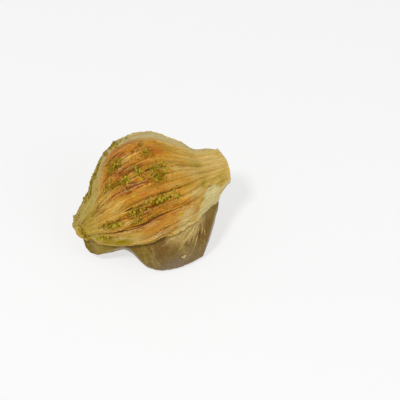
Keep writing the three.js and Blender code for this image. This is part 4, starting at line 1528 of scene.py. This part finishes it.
def soaked_finish():
    material, tree, shader = finish(
        "syrup_soaked_dough", Coat_Weight=0.08, Coat_Roughness=0.15, Subsurface_Weight=0.15,
        Subsurface_Radius=(1.2, 0.8, 0.3), Subsurface_Scale=0.001, Specular_IOR_Level=0.08,
    )
    spot = add(tree, "ShaderNodeTexCoord").outputs["Object"]
    place, turn, crease = (attribute(tree, name) for name in ("place", "turn", "crease"))
    fine = noise(tree, spot, 800, 4, 0.65)
    fanned = times_plus(tree, place, -38.0, times(tree, turn, 0.9))
    fibre = noise(tree, combined(tree, times(tree, place, 9.0), fanned, 0.0), 1.0, 3, 0.6)
    colour = ramp(tree, noise(tree, spot, 210, 5, 0.65), DOUGH_RAMP)
    for zone, (tint, most, _) in BELLY_TINTS.items():
        share = times(tree, attribute(tree, zone), soft_step(tree, fibre, 0.3, 0.65, 0.4, most))
        colour = mixed(tree, share, colour, tint)
    light = times(tree, soft_step(tree, crease, 0.05, 0.9), soft_step(tree, fine, 0.25, 0.6, 0.4, 0.9))
    for share, tint in (
        (soft_step(tree, fibre, 0.52, 0.7, 0.0, 0.35), DOUGH_FIBRE), (light, CREASE_LIGHT),
        (soft_step(tree, crease, -0.05, -0.9, 0.0, 0.85), CREASE_SHADE),
        (soft_step(tree, attribute(tree, "crumb"), 0.4, 0.8), CRUMB_TINT),
    ):
        colour = mixed(tree, share, colour, tint)
    colour = scaled(tree, colour, soft_step(tree, fine, 0.3, 0.7, 0.86, 1.12))
    dress(tree, shader, colour, fine, 0.35, 0.0004)
    tree.links.new(soft_step(tree, fine, 0.3, 0.7, 0.22, 0.42), shader.inputs["Roughness"])
    return material


belly.data.materials.append(soaked_finish())
print("tints of the soft leaf:", *BELLY_TINTS)

# %% Every piece rides on the one body and stands for its solid
for piece, node, slot in (
    (fan, "pleated_fan", "filo_leaf"),
    (sheets, "pleated_fan", "filo_leaf"),
    (nuts, "pleated_fan", "ground_pistachio"),
    (belly, "filled_belly", "syrup_soaked_leaf"),
):
    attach(piece, "root")
    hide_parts(node)
    print(piece.name, "stands for", node)

# %% [markdown]
# ## Floor, light and camera
# The piece stands on a plain pale floor under broad soft light, so that its own relief makes the
# shade. The camera looks down on it at 45 degrees with a long lens from a little over half a metre.

# %% A plain studio
FLOOR_SIZE = 6.0
LOOK_AT = np.array((22.6, -1.35, 19.2)) * MM
ELEVATION = 45
DISTANCE = 0.6
LENS = 118.4


def studio_floor():
    half = FLOOR_SIZE / 2 / MM
    corners = np.array([(-half, -half, 0), (half, -half, 0), (half, half, 0), (-half, half, 0)], float)
    floor = mesh_piece("studio_floor", corners, [(0, 1, 2, 3)])
    material, _, _ = finish(
        "pale_floor", Base_Color=(0.28, 0.28, 0.28, 1), Roughness=0.9,
        Emission_Color=(1, 1, 1, 1), Emission_Strength=0.665,
    )
    floor.data.materials.append(material)


def aimed(thing, spot, target):
    """Links a camera or light at the spot and turns it to the target."""
    holder = bpy.data.objects.new(thing.name, thing)
    bpy.context.scene.collection.objects.link(holder)
    holder.location = spot
    toward = Vector(np.asarray(target) - np.asarray(spot))
    holder.rotation_euler = toward.to_track_quat("-Z", "Y").to_euler()
    return holder


def soft_light(name, spot, size, watts):
    light = bpy.data.lights.new(name, "AREA")
    light.shape = "DISK"
    light.size = size
    light.energy = watts
    return aimed(light, spot, (0, 0, 0.02))


studio_floor()
soft_light("key", (-0.3, -0.55, 1.0), 0.2, 7.3)
soft_light("fill", (0.8, -0.6, 0.6), 0.8, 2.8)
world = bpy.data.worlds.new("studio")
world.use_nodes = True
world.node_tree.nodes["Background"].inputs["Color"].default_value = (1, 1, 1, 1)
world.node_tree.nodes["Background"].inputs["Strength"].default_value = 0.42
bpy.context.scene.world = world
bpy.context.scene.view_settings.view_transform = "Standard"

lens = bpy.data.cameras.new("camera")
lens.lens = LENS
tilt = np.radians(ELEVATION)
camera = aimed(lens, LOOK_AT + DISTANCE * np.array((0, -np.cos(tilt), np.sin(tilt))), LOOK_AT)
bpy.context.scene.camera = camera
print("camera at:", *(round(value, 3) for value in camera.location))
